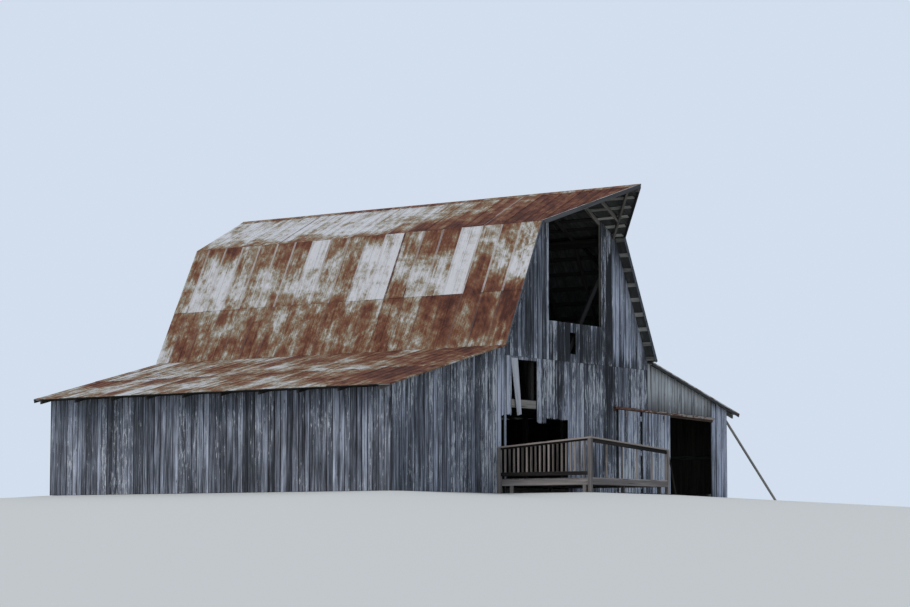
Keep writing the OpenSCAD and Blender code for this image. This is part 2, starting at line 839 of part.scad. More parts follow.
module door_hanger(x) {
  front = leaf_back_y - ledge_t - leaf_board_t;
  top = track_at(x);
  axle_z = top - track_w + track_wall + wheel_r + seat;
  strap_w = 60;
  stem = 8;
  low = top - track_w - hanger_gap;
  translate([x, track_mid_y, axle_z]) {
    rotate([90, 0, 0]) cylinder(h = track_w - 2 * track_wall - 8, r = 6, center = true, $fn = 24);
    for (side = [-1, 1]) translate([0, side * (track_slot / 2 + 5), 0])
      rotate([90, 0, 0]) cylinder(h = 9, r = wheel_r, center = true, $fn = 48);
  }
  box(x - 15, x + 15, track_mid_y - stem / 2, track_mid_y + stem / 2, low - strap_t, axle_z);
  upright_yz([
    [track_mid_y + stem / 2, low], [front - strap_t - seat, low],
    [front - strap_t - seat, low - strap_len], [front - seat, low - strap_len],
    [front - seat, low - strap_t], [track_mid_y + stem / 2, low - strap_t]
  ], x - strap_w / 2, strap_w);
}

module deck_floor() {
  color(deck_wood) box(deck_left, deck_right, -deck_y, -seat, deck_h - deck_t, deck_h);
}

// Rims and joists under the deck floor
module deck_frame() {
  top = deck_h - deck_t;
  low = top - deck_joist_d;
  color(deck_wood) {
    box(deck_left, deck_right, -deck_y, -deck_y + joist_t, low, top);
    box(deck_left, deck_right, -seat - joist_t, -seat, low, top);
    for (i = [0 : deck_joists - 1])
      box(deck_joist_x(i), deck_joist_x(i) + joist_t, -deck_y + joist_t + seat,
        -2 * seat - joist_t, low, top);
  }
}

// Left face of deck joist i
function deck_joist_x(i) = deck_left + i * (deck_right - deck_left - joist_t) / (deck_joists - 1);
// Height of the top rail's underside, a distance s from the corner of a run that is run_len long
function rail_under(s, run_len) = rail_h - rail_t - rail_drop * s / run_len;

// Rail posts beside the deck frame and short legs under it
module deck_posts() {
  x_left = deck_left - deck_post;
  y_front = -deck_y;
  low = deck_h - deck_t - deck_joist_d;
  run_x = deck_right - deck_left;
  run_y = deck_y - deck_post / 2;
  color(deck_wood) {
    box(x_left, deck_left, y_front, y_front + deck_post, 0, rail_under(deck_post, run_y) - seat);
    box(x_left, deck_left, -deck_post - seat, -seat, 0, rail_under(run_y, run_y) - seat);
    box(deck_right, deck_right + deck_post, y_front, y_front + deck_post, 0,
      rail_under(run_x + deck_post, run_x) - seat);
    for (i = [0, floor(deck_joists / 2), deck_joists - 1], y = [y_front + 200, -400])
      box(deck_joist_x(i), deck_joist_x(i) + joist_t, y, y + deck_post, 0, low);
  }
}

// Side rail back to the wall and front rail along the deck, both sagging from the corner post
module deck_rails() {
  color(deck_wood) {
    side_rail();
    front_rail();
    thin_pole();
  }
}

module side_rail() {
  x0 = deck_left - deck_post;
  x_mid = x0 + (deck_post - baluster_w) / 2;
  run = deck_y - deck_post / 2;
  foot = deck_h + rail_lift;
  y0 = -deck_y + deck_post + seat;
  y1 = -2 * seat - deck_post;
  upright_yz([
    [-deck_y, rail_under(0, run)], [-seat, rail_under(run, run)],
    [-seat, rail_under(run, run) + rail_t], [-deck_y, rail_h]
  ], x0, deck_post);
  upright_yz([
    [y0, rail_under(deck_post, run) - rail_d / 2], [y1, rail_under(y1 + deck_y, run) - rail_d / 2],
    [y1, rail_under(y1 + deck_y, run) + 1], [y0, rail_under(deck_post, run) + 1]
  ], x_mid, baluster_w);
  box(x_mid, x_mid + baluster_w, y0, y1, foot, foot + rail_d);
  for (i = [1 : side_balusters]) {
    y = y0 + i * (y1 - y0) / (side_balusters + 1);
    box(x_mid, x_mid + baluster_w, y - baluster_w / 2, y + baluster_w / 2,
      foot + 1, rail_under(y + deck_y, run) - 1);
  }
}

// The front rail keeps its top rail, the board under it and a few balusters
module front_rail() {
  x0 = deck_left + seat;
  x1 = deck_right - seat;
  run = deck_right - deck_left;
  y_mid = -deck_y + (deck_post - baluster_w) / 2;
  upright([
    [x0, rail_under(0, run)], [x1 + deck_post, rail_under(run + deck_post, run)],
    [x1 + deck_post, rail_under(run + deck_post, run) + rail_t], [x0, rail_h]
  ], -deck_y, deck_post);
  upright([
    [x0, rail_under(0, run) - rail_d], [x1, rail_under(run, run) - rail_d],
    [x1, rail_under(run, run) + 1], [x0, rail_under(0, run) + 1]
  ], y_mid, baluster_w);
  for (i = [1 : front_balusters]) {
    x = x0 + i * (x1 - x0) / (front_balusters + 1);
    box(x - baluster_w / 2, x + baluster_w / 2, y_mid, y_mid + baluster_w,
      deck_h + seat, rail_under(x - x0, run) - 1);
  }
}

// Thin pole that leans on the deck's end post
module thin_pole() {
  x0 = deck_right + deck_post;
  y = -deck_y + deck_post / 2;
  lean = atan(pole_out / pole_h);
  length = 2 * norm([pole_out, pole_h]);
  intersection() {
    translate([x0 + pole_out / 2, y, pole_h / 2]) rotate([0, -lean, 0])
      cylinder(h = length, r = pole_r, center = true, $fn = 12);
    box(x0 + seat, x0 + 2 * pole_out, y - pole_out, y + pole_out, 0, pole_h);
  }
}

// Pole that props the corner of the right lean-to, cut flat where it meets the wall and the ground
module prop_pole() {
  foot = [lean_half + prop_out, -prop_fwd, 0];
  head = [lean_half, 2 * board_t, prop_h];
  run = head - foot;
  color(dark_timber) intersection() {
    translate((foot + head) / 2) rotate([0, acos(run[2] / norm(run)), atan2(run[1], run[0])])
      cylinder(h = 2 * norm(run), r = prop_r, center = true, $fn = 12);
    box(lean_half + seat, lean_half + 2 * prop_out, -prop_out, prop_out, 0, 2 * prop_h);
  }
}

// Tapered board that hangs by its upper end beside the high doorway
module loose_board() {
  head = [high_left - loose_out, high_head + loose_lap];
  foot = head + loose_len * [sin(loose_tilt), -cos(loose_tilt)];
  color(faded_paint) upright([
    head, foot, foot + loose_w * [cos(loose_tilt), sin(loose_tilt)], head + [loose_top_w, 0]
  ], -board_t - seat, board_t);
}

gable_left_boards();
gable_right_boards();
gable_slot_panel();
front_wall_left();
front_wall_center();
leanto_gable_right();
leanto_corner_right();
leanto_front_left();
side_walls();
back_gable();
back_wall();
roof_upper_left();
roof_upper_right();
roof_steep_left();
roof_steep_right();
roof_leanto_left();
roof_leanto_right();
ridge_cap();
roof_lath();
upper_rafters();
steep_rafters();
leanto_rafters();
ridge_board();
hood_rafters();
rake_boards();
purlin_beams();
purlin_posts();
braces();
wall_plates();
wall_posts();
sill_beams();
wall_girts();
loft_beams();
loft_joists();
loft_floor();
track_board();
door_track();
sliding_door();
door_hangers();
deck_floor();
deck_frame();
deck_posts();
deck_rails();
prop_pole();
loose_board();
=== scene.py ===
# Weathered gambrel barn: separate boards, roof sheets, finishes, light and camera round the frame.
import math
import random

import bmesh
import bpy
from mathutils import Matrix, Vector, noise


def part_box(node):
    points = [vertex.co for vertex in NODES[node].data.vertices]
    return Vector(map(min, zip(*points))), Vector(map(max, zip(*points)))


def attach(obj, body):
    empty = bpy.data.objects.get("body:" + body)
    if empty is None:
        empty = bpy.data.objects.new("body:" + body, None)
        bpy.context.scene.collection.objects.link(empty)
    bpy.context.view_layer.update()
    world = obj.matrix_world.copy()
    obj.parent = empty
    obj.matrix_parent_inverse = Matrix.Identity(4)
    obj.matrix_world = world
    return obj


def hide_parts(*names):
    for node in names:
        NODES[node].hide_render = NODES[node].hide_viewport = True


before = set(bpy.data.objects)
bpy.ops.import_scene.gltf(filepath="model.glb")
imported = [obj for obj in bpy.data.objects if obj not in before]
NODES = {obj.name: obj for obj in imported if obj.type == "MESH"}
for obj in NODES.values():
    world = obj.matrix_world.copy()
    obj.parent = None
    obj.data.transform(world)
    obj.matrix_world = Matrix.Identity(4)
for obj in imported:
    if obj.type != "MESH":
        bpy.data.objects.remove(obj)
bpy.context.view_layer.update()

# Directions of the building
RIGHT = Vector((1, 0, 0))
BACK = Vector((0, 1, 0))
UP = Vector((0, 0, 1))

# Sizes are in metres, apart from counts of points and of balusters

# Boards, with the columns of points across torn and sawn ones
BOARD_WIDTH = 0.18
BOARD_GAPS = (0.004, 0.005, 0.006, 0.007, 0.009, 0.012, 0.019)
TIGHT_GAPS = (0.002, 0.002, 0.003, 0.003, 0.004, 0.005)
CORNER_GAP = 0.045
CHAMFER = 0.003
TORN_COLUMNS = 9
SAWN_COLUMNS = 4
ROW_LENGTH = 0.55
SAW_ERROR = 0.006
TORN_END = 0.09
FLOOR_GAP = 0.006
NAIL_RADIUS = 0.0055
NAIL_RISE = 0.0025
NAIL_MARGIN = 0.03
NAIL_LINES = (0.10, 1.20, 2.15, 3.33, 3.47, 4.34, 5.55, 6.40)
WORN_EDGE = 0.005
GRAIN_SPAN = 90

# Door leaf: its boards, how far its top falls from left to right, and its ledges
LEAF_BOARD = 0.165
LEAF_THICK = 0.022
LEAF_FALL = 0.076
LEDGE_WIDTH = 0.14
LEDGE_THICK = 0.021
LEDGE_INSET = 0.06
LEDGE_FOOT = 0.1

# Roof sheets and ridge cap
SHEET_START = -0.3
SHEET_COVER = 0.61
SHEET_LAP = 0.036
SHEET_THICK = 0.001
SHEET_DEPTH = 0.0055
SHEET_ROW = 0.34
COURSE_LAP = 0.03
COURSE_LIFT = 0.0016
CRIMP_RISE = 0.011
CRIMP_HALF = 0.010
CRIMP_PLACES = (0.018, 0.305, 0.592, 0.628)
SEAM_LEFT = 0.032
SEAM_RIGHT = 0.586
SEAM_EDGE = 0.012
UNDER_LAP = 0.018
OVER_LAP = 0.014
CAP_LENGTH = 2.44
CAP_LAP = 0.08
CAP_ROLL = 0.012
CAP_SINK = 0.004
CAP_ROWS = 8

# Deck rails, and how bowed and how pale their parts are
RAIL_POST = 0.09
RAIL_THICK = 0.036
RAIL_DEPTH = 0.09
RAIL_LIFT = 0.06
RAIL_DROP = 0.19
BALUSTER = 0.038
SIDE_BALUSTERS = 19
FRONT_BALUSTERS = 4
TOP_RAIL = {"bow": 0.002, "shade": 1.0}
LOWER_RAIL = {"bow": 0.0, "shade": 0.12}
BALUSTER_SHADES = (0.5, 1.0)

# Specular level of old wood and rust
SHINE = 0.15

# Places along the barn between which timber stands under the roof, darkened there partly as painted shade
INDOORS = (0.1, 10.8)

# Camera: its place, direction in degrees, and lens and sensor in millimetres
CAMERA_PLACE = (-53.90, -34.37, -1.2)
CAMERA_YAW = 54.701
CAMERA_PITCH = 5.474
CAMERA_LENS = 98.82
SENSOR_WIDTH = 36.0

# Ground: slope away from the walls, the distance over which it levels out, its size, and the
# places between which its grid is fine
GROUND_FALL = 0.06
GROUND_REACH = 60.0
GROUND_END = 220.0
FINE_X = (-12.0, 14.0)
FINE_Y = (-6.0, 15.0)
FINE_STEP = 0.5


def new_object(name, data):
    """Object made of this data and put in the scene."""
    made = bpy.data.objects.new(name, data)
    bpy.context.scene.collection.objects.link(made)
    return made


def mesh_object(name, points, faces, material):
    mesh = bpy.data.meshes.new(name)
    mesh.from_pydata(points, [], faces)
    mesh.materials.append(material)
    return new_object(name, mesh)


def grid(rows, count):
    """Faces between rows of count points each."""
    return [[row * count + i, row * count + i + 1, (row + 1) * count + i + 1, (row + 1) * count + i]
            for row in range(rows - 1) for i in range(count - 1)]


class Pieces:
    """Small meshes joined in one, with their random numbers. rim holds a point's distances from the
    left, right and lower edge of its board, the first two negative on the board's inner face."""

    def __init__(self, seed):
        self.rng = random.Random(seed)
        self.points, self.faces, self.grain, self.tone, self.rim = [], [], [], [], []

    def add(self, points, faces, grain, tone, rim=None, turned=False):
        """tone is one for all points or a list, and turned flips the faces."""
        first = len(self.points)
        self.points += points
        self.faces += [[first + i for i in (face[::-1] if turned else face)] for face in faces]
        self.grain += grain
        self.tone += tone if isinstance(tone, list) else [tone] * len(points)
        self.rim += rim or [(1.0, 1.0, 9.0)] * len(points)

    def grain_start(self, directions=3):
        """Random start of the grain along so many directions."""
        draws = [self.rng.uniform(0, GRAIN_SPAN) for _ in range(directions)]
        return Vector(draws + [0] * (3 - directions))

    def build(self, name, slot, material, *replaced, body="barn"):
        piece = mesh_object(name, self.points, self.faces, material)
        for title, values in (("grain", self.grain), ("rim", self.rim)):
            layer = piece.data.attributes.new(title, "FLOAT_VECTOR", "POINT")
            layer.data.foreach_set("vector", [value for item in values for value in item])
        layer = piece.data.attributes.new("tone", "FLOAT_COLOR", "POINT")
        layer.data.foreach_set("color", [value for item in self.tone for value in (*item, 1.0)])
        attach(piece, body)
        if replaced:
            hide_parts(*replaced)
        return piece

    def build_sheet(self, name, material, *replaced, side=-1):
        """Roof sheet whose thickness lies below its mesh, or above it where side is 1."""
        piece = self.build(name, "roof_sheet", material, *replaced)
        thickness = piece.modifiers.new("thickness", "SOLIDIFY")
        thickness.thickness = SHEET_THICK
        thickness.offset = side


def row_stops(length, torn):
    """Shares of a board's length at which it has points, closer near a torn end."""
    count = max(2, math.ceil(length / ROW_LENGTH) + 1)
    stops = [i / (count - 1) for i in range(count)]
    if torn[0]:
        stops.insert(1, min(0.45 * stops[1], 1.6 * torn[0] / length))
    if torn[1]:
        stops.insert(-1, 1 - min(0.45 * (1 - stops[-2]), 1.6 * torn[1] / length))
    return stops


def add_nail(pieces, centre, across, along, outward):
    """Nail head, with a negative rim distance, which the finishes take for iron."""
    ring = [centre + (across * math.cos(a) + along * math.sin(a)) * NAIL_RADIUS
            for a in (math.pi * i / 3 for i in range(6))]
    points = ring + [centre + outward * NAIL_RISE]
    faces = [[i, (i + 1) % 6, 6] for i in range(6)]
    pieces.add(points, faces, [(0.0, 0.0, 0.0)] * 7, (0.5, 0.5, 0.5), [(0.0, 0.0, -1.0)] * 7,
               across.cross(along).dot(outward) < 0)


def add_board(pieces, place, across, along, width, thick, low, high, torn=(0.0, 0.0), bow=0.003,
              nails=(), shade=None):
    """One board, measured along from its outer left corner place. low and high hold where it ends at
    its left and at its right edge, and shade is its tone where given."""
    rng = pieces.rng
    inward = along.cross(across)
    count = TORN_COLUMNS if max(torn) > 0 else SAWN_COLUMNS
    face = [CHAMFER + (width - 2 * CHAMFER) * i / (count - 1) for i in range(count)]
    ring = [(0.0, CHAMFER), *((u, 0.0) for u in face), (width, CHAMFER), (width, thick), (0.0, thick)]
    length = max(high[0] - low[0], high[1] - low[1], 0.05)
    stops = row_stops(length, torn)
    cup = rng.uniform(-0.0006, 0.0014)
    lean = rng.uniform(-bow, bow)
    taper = rng.uniform(-0.0025, 0.0025)
    seed = pieces.grain_start()
    tone = (rng.random() if shade is None else shade, rng.random(), 0.0)
    end_error = (rng.uniform(-SAW_ERROR, 0), rng.uniform(-SAW_ERROR, 0))
    jag = [[0.4 * rng.random() + 0.6 * rng.random() ** 2 for _ in range(count)] for _ in range(2)]
    points, grain, rim = [], [], []
    for row, t in enumerate(stops):
        wobble = noise.noise(seed + Vector((t * length * 0.9, 0, 0))) * 0.003
        rise = lean * math.sin(math.pi * t) + noise.noise(seed + Vector((0, t * length, 0))) * 0.001
        for u, v in ring:
            share = u / width
            column = round(share * (count - 1))
            foot = low[0] + (low[1] - low[0]) * share
            s0 = foot - end_error[0]
            s1 = high[0] + (high[1] - high[0]) * share + end_error[1]
            s = s0 + (s1 - s0) * t
            if row == 0:
                s += torn[0] * jag[0][column]
            if row == len(stops) - 1:
                s -= torn[1] * jag[1][column]
            depth = v + (cup * 4 * share * (1 - share) if v == 0.0 else 0.0)
            if v < thick:
                depth = max(depth - rise, -0.004)
            shift = wobble + taper * (2 * share - 1) * (2 * t - 1)
            points.append(place + across * (u + shift) + along * s + inward * depth)
            grain.append((u + seed.x, v + seed.y, s + seed.z))
            rim.append((u, width - u, s - foot) if v < thick else (-1.0, -1.0, s - foot))
    n = len(ring)
    faces = [list(range(n))[::-1], [(len(stops) - 1) * n + i for i in range(n)]]
    for row in range(len(stops) - 1):
        for i in range(n):
            j = (i + 1) % n
            faces.append([row * n + i, row * n + j, (row + 1) * n + j, (row + 1) * n + i])
    pieces.add(points, faces, grain, tone, rim)
    for s in nails:
        t = (s - low[0]) / length
        if NAIL_MARGIN / length < t < 1 - NAIL_MARGIN / length:
            for share in (0.22, 0.78):
                centre = place + across * (width * share) + along * (s + rng.uniform(-0.012, 0.012))
                add_nail(pieces, centre - inward * (lean * math.sin(math.pi * t)), across, along, -inward)


def add_bar(pieces, place, across, along, width, thick, start, end, **more):
    """A board with square ends."""
    add_board(pieces, place, across, along, width, thick, (start, start), (end, end), **more)


def outline(node, normal, across):
    """Edges round a CAD node's outermost faces that look along normal, as pairs of flat points, and
    the distance of their plane."""
    mesh = NODES[node].data
    looking = [poly for poly in mesh.polygons if poly.normal.dot(normal) > 0.999]
    reach = max(poly.center.dot(normal) for poly in looking)
    uses = {}
    for poly in looking:
        if poly.center.dot(normal) < reach - 0.001:
            continue
        corners = [mesh.vertices[i].co for i in poly.vertices]
        flat = [(round(c.dot(across), 4), round(c.z, 4)) for c in corners]
        for a, b in zip(flat, flat[1:] + flat[:1]):
            key = (min(a, b), max(a, b))
            uses[key] = uses.get(key, 0) + 1
    return [key for key, count in uses.items() if count == 1], reach


def crossings(edges, u):
    """Outline edges below and above each stretch of wall at u, each with its start and slope."""
    hits = []
    for (u0, s0), (u1, s1) in edges:
        if u0 < u < u1:
            hits.append((s0 + (s1 - s0) * (u - u0) / (u1 - u0), (u0, s0, (s1 - s0) / (u1 - u0))))
    hits.sort(key=lambda hit: hit[0])
    return [(hits[i][1], hits[i + 1][1]) for i in range(0, len(hits) - 1, 2)]


def board_end(edge, left, right):
    """Heights of a board's end at its left and right edge, cut along an outline edge."""
    u0, s0, slope = edge
    return s0 + slope * (left - u0), s0 + slope * (right - u0)


def widths_between(rng, start, end, mean):
    """Left edges and widths of boards that fill the space from start to end."""
    count = max(1, round((end - start) / mean))
    shares = [rng.uniform(0.8, 1.2) for _ in range(count)]
    step = (end - start) / sum(shares)
    found = []
    for share in shares:
        found.append((start, share * step))
        start += share * step
    return found


def board_places(rng, stops, mean, first, last):
    """Left edges and widths of the boards of a wall whose outline turns at stops. first and last are
    the widths of its end boards where given."""
    kept = [stops[0]]
    for stop in stops[1:]:
        if stop - kept[-1] > 0.05:
            kept.append(stop)
    kept[-1] = stops[-1]
    if first:
        kept.insert(1, kept[0] + first)
    if last:
        kept.insert(-1, kept[-1] - last)
    mean = max(mean, first or 0)
    return [board for a, b in zip(kept, kept[1:]) for board in widths_between(rng, a, b, mean)]


def add_siding(pieces, node, normal, across, thick, mean=BOARD_WIDTH, torn=None,
               ends=(None, None), nails=NAIL_LINES, gaps=BOARD_GAPS, wide=0.0):
    """Boards that fill the outer face of a CAD node. wide is the gap after the first board."""
    rng = pieces.rng
    edges, reach = outline(node, normal, across)
    stops = sorted({u for edge in edges for u, _ in edge})
    for index, (left, width) in enumerate(board_places(rng, stops, mean, *ends)):
        gap = wide if wide and index == 0 else rng.choice(gaps)
        sunk = rng.uniform(0.0, 0.002)
        for below, above in crossings(edges, left + width / 2):
            low = board_end(below, left, left + width)
            high = board_end(above, left, left + width)
            tear = torn(low[0], high[0]) if torn else (0.0, 0.0)
            place = normal * (reach - sunk) + across * (left + min(gap / 2, 0.01))
            add_board(pieces, place, across, UP, width - gap, thick - sunk, low, high, tear,
                      nails=nails)


def worn_solids(node):
    """Points, faces and largest face's normal of each solid of a CAD node, with worn arrises."""
    shape = bmesh.new()
    shape.from_mesh(NODES[node].data)
    bmesh.ops.remove_doubles(shape, verts=shape.verts, dist=1e-5)
    bmesh.ops.dissolve_limit(shape, angle_limit=0.02, verts=shape.verts, edges=shape.edges)
    sharp = [edge for edge in shape.edges if edge.is_manifold and edge.calc_face_angle() > 0.7]
    bmesh.ops.bevel(shape, geom=sharp, offset=WORN_EDGE, offset_type="OFFSET", segments=1, profile=0.5,
                    affect="EDGES", clamp_overlap=True)
    seen, found = set(), []
    for first in shape.faces:
        if first in seen:
            continue
        seen.add(first)
        group = [first]
        for face in group:
            for other in (other for edge in face.edges for other in edge.link_faces):
                if other not in seen:
                    seen.add(other)
                    group.append(other)
        corners = list(dict.fromkeys(vertex for face in group for vertex in face.verts))
        number = {vertex: i for i, vertex in enumerate(corners)}
        faces = [[number[vertex] for vertex in face.verts] for face in group]
        largest = max(group, key=lambda face: face.calc_area()).normal.copy()
        found.append(([vertex.co.copy() for vertex in corners], faces, largest))
    shape.free()
    return found


def longest_edge(points, faces):
    """Direction of the longest edge, turned to the right, back or up."""
    best = Vector((0, 0, 0))
    for face in faces:
        for a, b in zip(face, face[1:] + face[:1]):
            run = points[b] - points[a]
            if run.length > best.length + 1e-5:
                best = run
    main = max(range(3), key=lambda i: abs(best[i]))
    return best.normalized() * (1 if best[main] > 0 else -1)


def add_timber(pieces, points, faces, normal):
    """One solid with the grain along its length and a tone of its own."""
    along = longest_edge(points, faces)
    across = along.cross(normal).normalized()
    seed = pieces.grain_start()
    tone = tuple(pieces.rng.random() for _ in range(3))
    start = min(point.dot(along) for point in points)
    grain = [(p.dot(across) + seed.x, p.dot(normal) + seed.y, p.dot(along) - start + seed.z) for p in points]
    rim = [(1.0, 1.0, p.dot(along) - start) for p in points]
    pieces.add(points, faces, grain, tone, rim)


def worn_timbers(slot, material, *nodes):
    """The timbers of CAD nodes, one piece for each node."""
    for node in nodes:
        pieces = Pieces(sum(ord(letter) for letter in node))
        for points, faces, normal in worn_solids(node):
            add_timber(pieces, points, faces, normal)
        pieces.build(node + "_timbers", slot, material, node)


class Look:
    """Short calls that add shader nodes and return their outputs."""

    def __init__(self, name):
        self.material = bpy.data.materials.new(name)
        self.material.use_nodes = True
        self.tree = self.material.node_tree
        self.tree.nodes.clear()
        self.shader = self.tree.nodes.new("ShaderNodeBsdfPrincipled")
        self.shader.inputs["Specular IOR Level"].default_value = SHINE
        output = self.tree.nodes.new("ShaderNodeOutputMaterial")
        self.tree.links.new(self.shader.outputs[0], output.inputs[0])

    def feed(self, socket, value):
        """Links an output to a socket, or sets its number or colour."""
        if isinstance(value, bpy.types.NodeSocket):
            self.tree.links.new(value, socket)
        elif value is not None:
            socket.default_value = (*value, 1.0) if socket.type == "RGBA" else value

    def put(self, kind, inputs, **settings):
        node = self.tree.nodes.new("ShaderNode" + kind)
        for key, value in settings.items():
            setattr(node, key, value)
        for key, value in inputs.items():
            self.feed(node.inputs[key], value)
        return node

    def attribute(self, name):
        return self.put("Attribute", {}, attribute_name=name)

    def grain(self):
        return self.attribute("grain").outputs["Vector"]

    def rim(self):
        return self.split(self.attribute("rim").outputs["Vector"])

    def tones(self):
        return self.put("SeparateColor", {0: self.attribute("tone").outputs["Color"]}).outputs

    def place(self):
        return self.put("TexCoord", {}).outputs["Object"]

    def upward(self):
        """How far a face looks up, from -1 to 1."""
        return self.split(self.put("NewGeometry", {}).outputs["True Normal"])[2]

    def split(self, vector):
        return self.put("SeparateXYZ", {0: vector}).outputs

    def scaled(self, vector, scale):
        return self.put("VectorMath", {0: vector, 1: scale}, operation="MULTIPLY").outputs[0]

    def noise(self, vector, scale, detail=3.0, rough=0.55):
        """Noise with its scale along each direction of the vector."""
        inputs = {"Vector": self.scaled(vector, scale), "Scale": 1.0, "Detail": detail, "Roughness": rough}
        return self.put("TexNoise", inputs).outputs[0]

    def knots(self, vector, scale):
        inputs = {"Vector": self.scaled(vector, scale), "Scale": 1.0, "Randomness": 1.0}
        return self.put("TexVoronoi", inputs).outputs["Distance"]

    def math(self, operation, a, b=0.0, c=0.0):
        return self.put("Math", {0: a, 1: b, 2: c}, operation=operation).outputs[0]

    def add(self, *parts, base=0.0):
        """Base and the sum of sockets, each with its weight."""
        total = base
        for socket, weight in parts:
            total = self.math("MULTIPLY_ADD", socket, weight, total)
        return total

    def around(self, centre, *parts):
        """Sum of noises, each with its weight, shifted so that their middles give centre."""
        return self.add(*parts, base=centre - 0.5 * sum(weight for _, weight in parts))

    def step(self, value, start, end, low=0.0, high=1.0):
        inputs = {"Value": value, "From Min": start, "From Max": end, "To Min": low, "To Max": high}
        return self.put("MapRange", inputs, interpolation_type="SMOOTHSTEP").outputs[0]

    def times(self, *factors):
        total = factors[0]
        for factor in factors[1:]:
            total = self.math("MULTIPLY", total, factor)
        return total

    def inside(self, value, low, high, soft):
        """1 between low and high, falling to 0 over the distance soft."""
        above = self.step(value, low - soft, low + soft)
        return self.times(above, self.step(value, high + soft, high - soft))

    def mix(self, share, a, b):
        return self.put("Mix", {0: share, 6: a, 7: b}, data_type="RGBA").outputs[2]

    def ramp(self, value, stops):
        node = self.put("ValToRGB", {0: value})
        marks = node.color_ramp.elements
        while len(marks) < len(stops):
            marks.new(0.5)
        for mark, (at, colour) in zip(marks, stops):
            mark.position = at
            mark.color = (*colour, 1.0)
        return node.outputs[0]

    def greys(self, value, stops, tint):
        """Ramp of grey levels with one tint."""
        return self.ramp(value, [(at, tuple(level * share for share in tint)) for at, level in stops])

    def finish(self, colour, rough, height, strength=0.5, distance=0.004, metal=None):
        inputs = {"Height": height, "Strength": strength, "Distance": distance}
        bump = self.put("Bump", inputs).outputs[0]
        values = {"Base Color": colour, "Roughness": rough, "Normal": bump, "Metallic": metal}
        for key, value in values.items():
            self.feed(self.shader.inputs[key], value)
        return self.material


# Grey levels of bare boards, from soaked to bleached
BOARD_GREYS = ((0.0, 0.022), (0.3, 0.065), (0.6, 0.165), (0.82, 0.30), (1.0, 0.43))
OLD_PAINT = (0.46, 0.48, 0.51)
IRON_STAIN = (0.05, 0.03, 0.022)
# Dark of splits and knots, and painted shade in the gaps at board edges
GRIME_AND_GAP_SHADE = (0.020, 0.020, 0.023)

# Darker and paler places on the front boards: left and right edge, foot, top and how much paler they are
FRONT_DARK_AND_PALE = (
    (1.24, 1.50, 3.60, 6.0, -0.24),
    (1.50, 1.80, 3.60, 6.4, -0.60),
    (1.80, 3.40, 3.60, 6.3, 0.34),
    (-3.2, -1.36, 3.60, 6.9, -0.15),
    (-1.45, -1.36, 3.60, 6.9, -0.22),
    (-1.24, 1.24, 3.40, 4.5, -0.34),
    (-0.265, 0.005, 3.40, 3.61, 0.45),
    (-3.6, -3.05, 1.00, 3.4, 0.36),
    (-1.8, -0.6, 2.40, 3.45, -0.20),
    (1.40, 1.92, 2.30, 3.5, -0.36),
    (1.45, 1.75, 1.00, 2.4, -0.26),
    (-0.6, 1.15, 1.00, 2.8, 0.12),
    (6.98, 7.90, 0.00, 2.2, 0.34),
    (6.98, 7.90, 2.20, 2.8, 0.44),
)


def board_look(name, centre, tint, dark_and_pale=(), flecks=0.0, band=None, foot=None, contrast=1.0):
    """Bare boards with streaks, knots, splits and flecks of old paint, edges darkened as dirt and as
    painted shade of the gaps between boards, and inner faces darkened as painted shade of the barn's
    inside. Darker and paler places are listed, flecks is the share of old paint, band the heights
    between which there is more of it, and foot a stain from the lower ends up."""
    look = Look(name)
    grain, tone = look.grain(), look.tones()
    x, _, z = look.split(look.place())
    left, right, rise = look.rim()
    streak = look.noise(grain, (14, 14, 0.8), 5, 0.68)
    fibre = look.noise(grain, (90, 90, 2.6), 4, 0.62)
    broad = look.noise(grain, (5, 5, 0.45), 3, 0.5)
    blotch = look.noise(look.place(), (0.7, 0.7, 0.5), 4, 0.55)
    shares = [(tone[0], 0.42), (streak, 1.9), (fibre, 0.65), (broad, 0.8), (blotch, 0.55)]
    level = look.around(centre, *[(value, weight * contrast) for value, weight in shares])
    near_x = look.math("ADD", x, look.around(0.0, (broad, 0.15)))
    near_z = look.math("ADD", z, look.around(0.0, (streak, 2.2)))
    for start, end, low, high, shift in dark_and_pale:
        near = look.times(look.inside(near_x, start, end, 0.05), look.inside(near_z, low, high, 0.18))
        level = look.add((near, shift), base=level)
    if foot:
        near = look.step(look.add((rise, 1.0), (streak, -0.9), base=0.45), foot[1], 0.0)
        level = look.add((near, foot[0]), base=level)
    colour = look.greys(level, BOARD_GREYS, tint)
    chips = look.noise(grain, (24, 24, 3.8), 5, 0.72)
    amount = look.around(flecks, (blotch, 0.5), (tone[1], 0.12))
    if band:
        amount = look.add((look.inside(near_z, *band, 0.3), 0.07), base=amount)
    chips = look.step(look.math("ADD", chips, amount), 0.66, 0.73)
    fleck = look.times(chips, look.step(level, 0.1, 0.4))
    colour = look.mix(look.times(fleck, 0.85), colour, OLD_PAINT)
    split = look.step(look.noise(grain, (55, 55, 0.9), 2, 0.5), 0.33, 0.39)
    knot = look.step(look.knots(grain, (7.5, 7.5, 1.7)), 0.03, 0.11)
    # Board edges darkened: dirt, and painted shade of the gaps between boards
    side = look.math("MINIMUM", left, right)
    edge = look.step(side, 0.001, look.add((streak, 0.032)))
    colour = look.mix(look.times(split, knot), GRIME_AND_GAP_SHADE, colour)
    colour = look.mix(look.step(edge, 0.0, 1.0, 0.25, 1.0), GRIME_AND_GAP_SHADE, colour)
    # Inner faces: brown unweathered wood, darkened as painted shade of the barn's inside
    dark = look.greys(look.add((streak, 1.0)), ((0.3, 0.010), (0.7, 0.045)), (1.0, 0.88, 0.74))
    colour = look.mix(look.math("LESS_THAN", side, -0.5), colour, dark)
    colour = look.mix(look.math("LESS_THAN", rise, -0.5), colour, IRON_STAIN)
    height = look.add((fibre, 0.55), (split, 0.6), (knot, 0.4), (fleck, 0.25), (streak, 0.4))
    return look.finish(colour, 0.88, height, 0.6, 0.004)


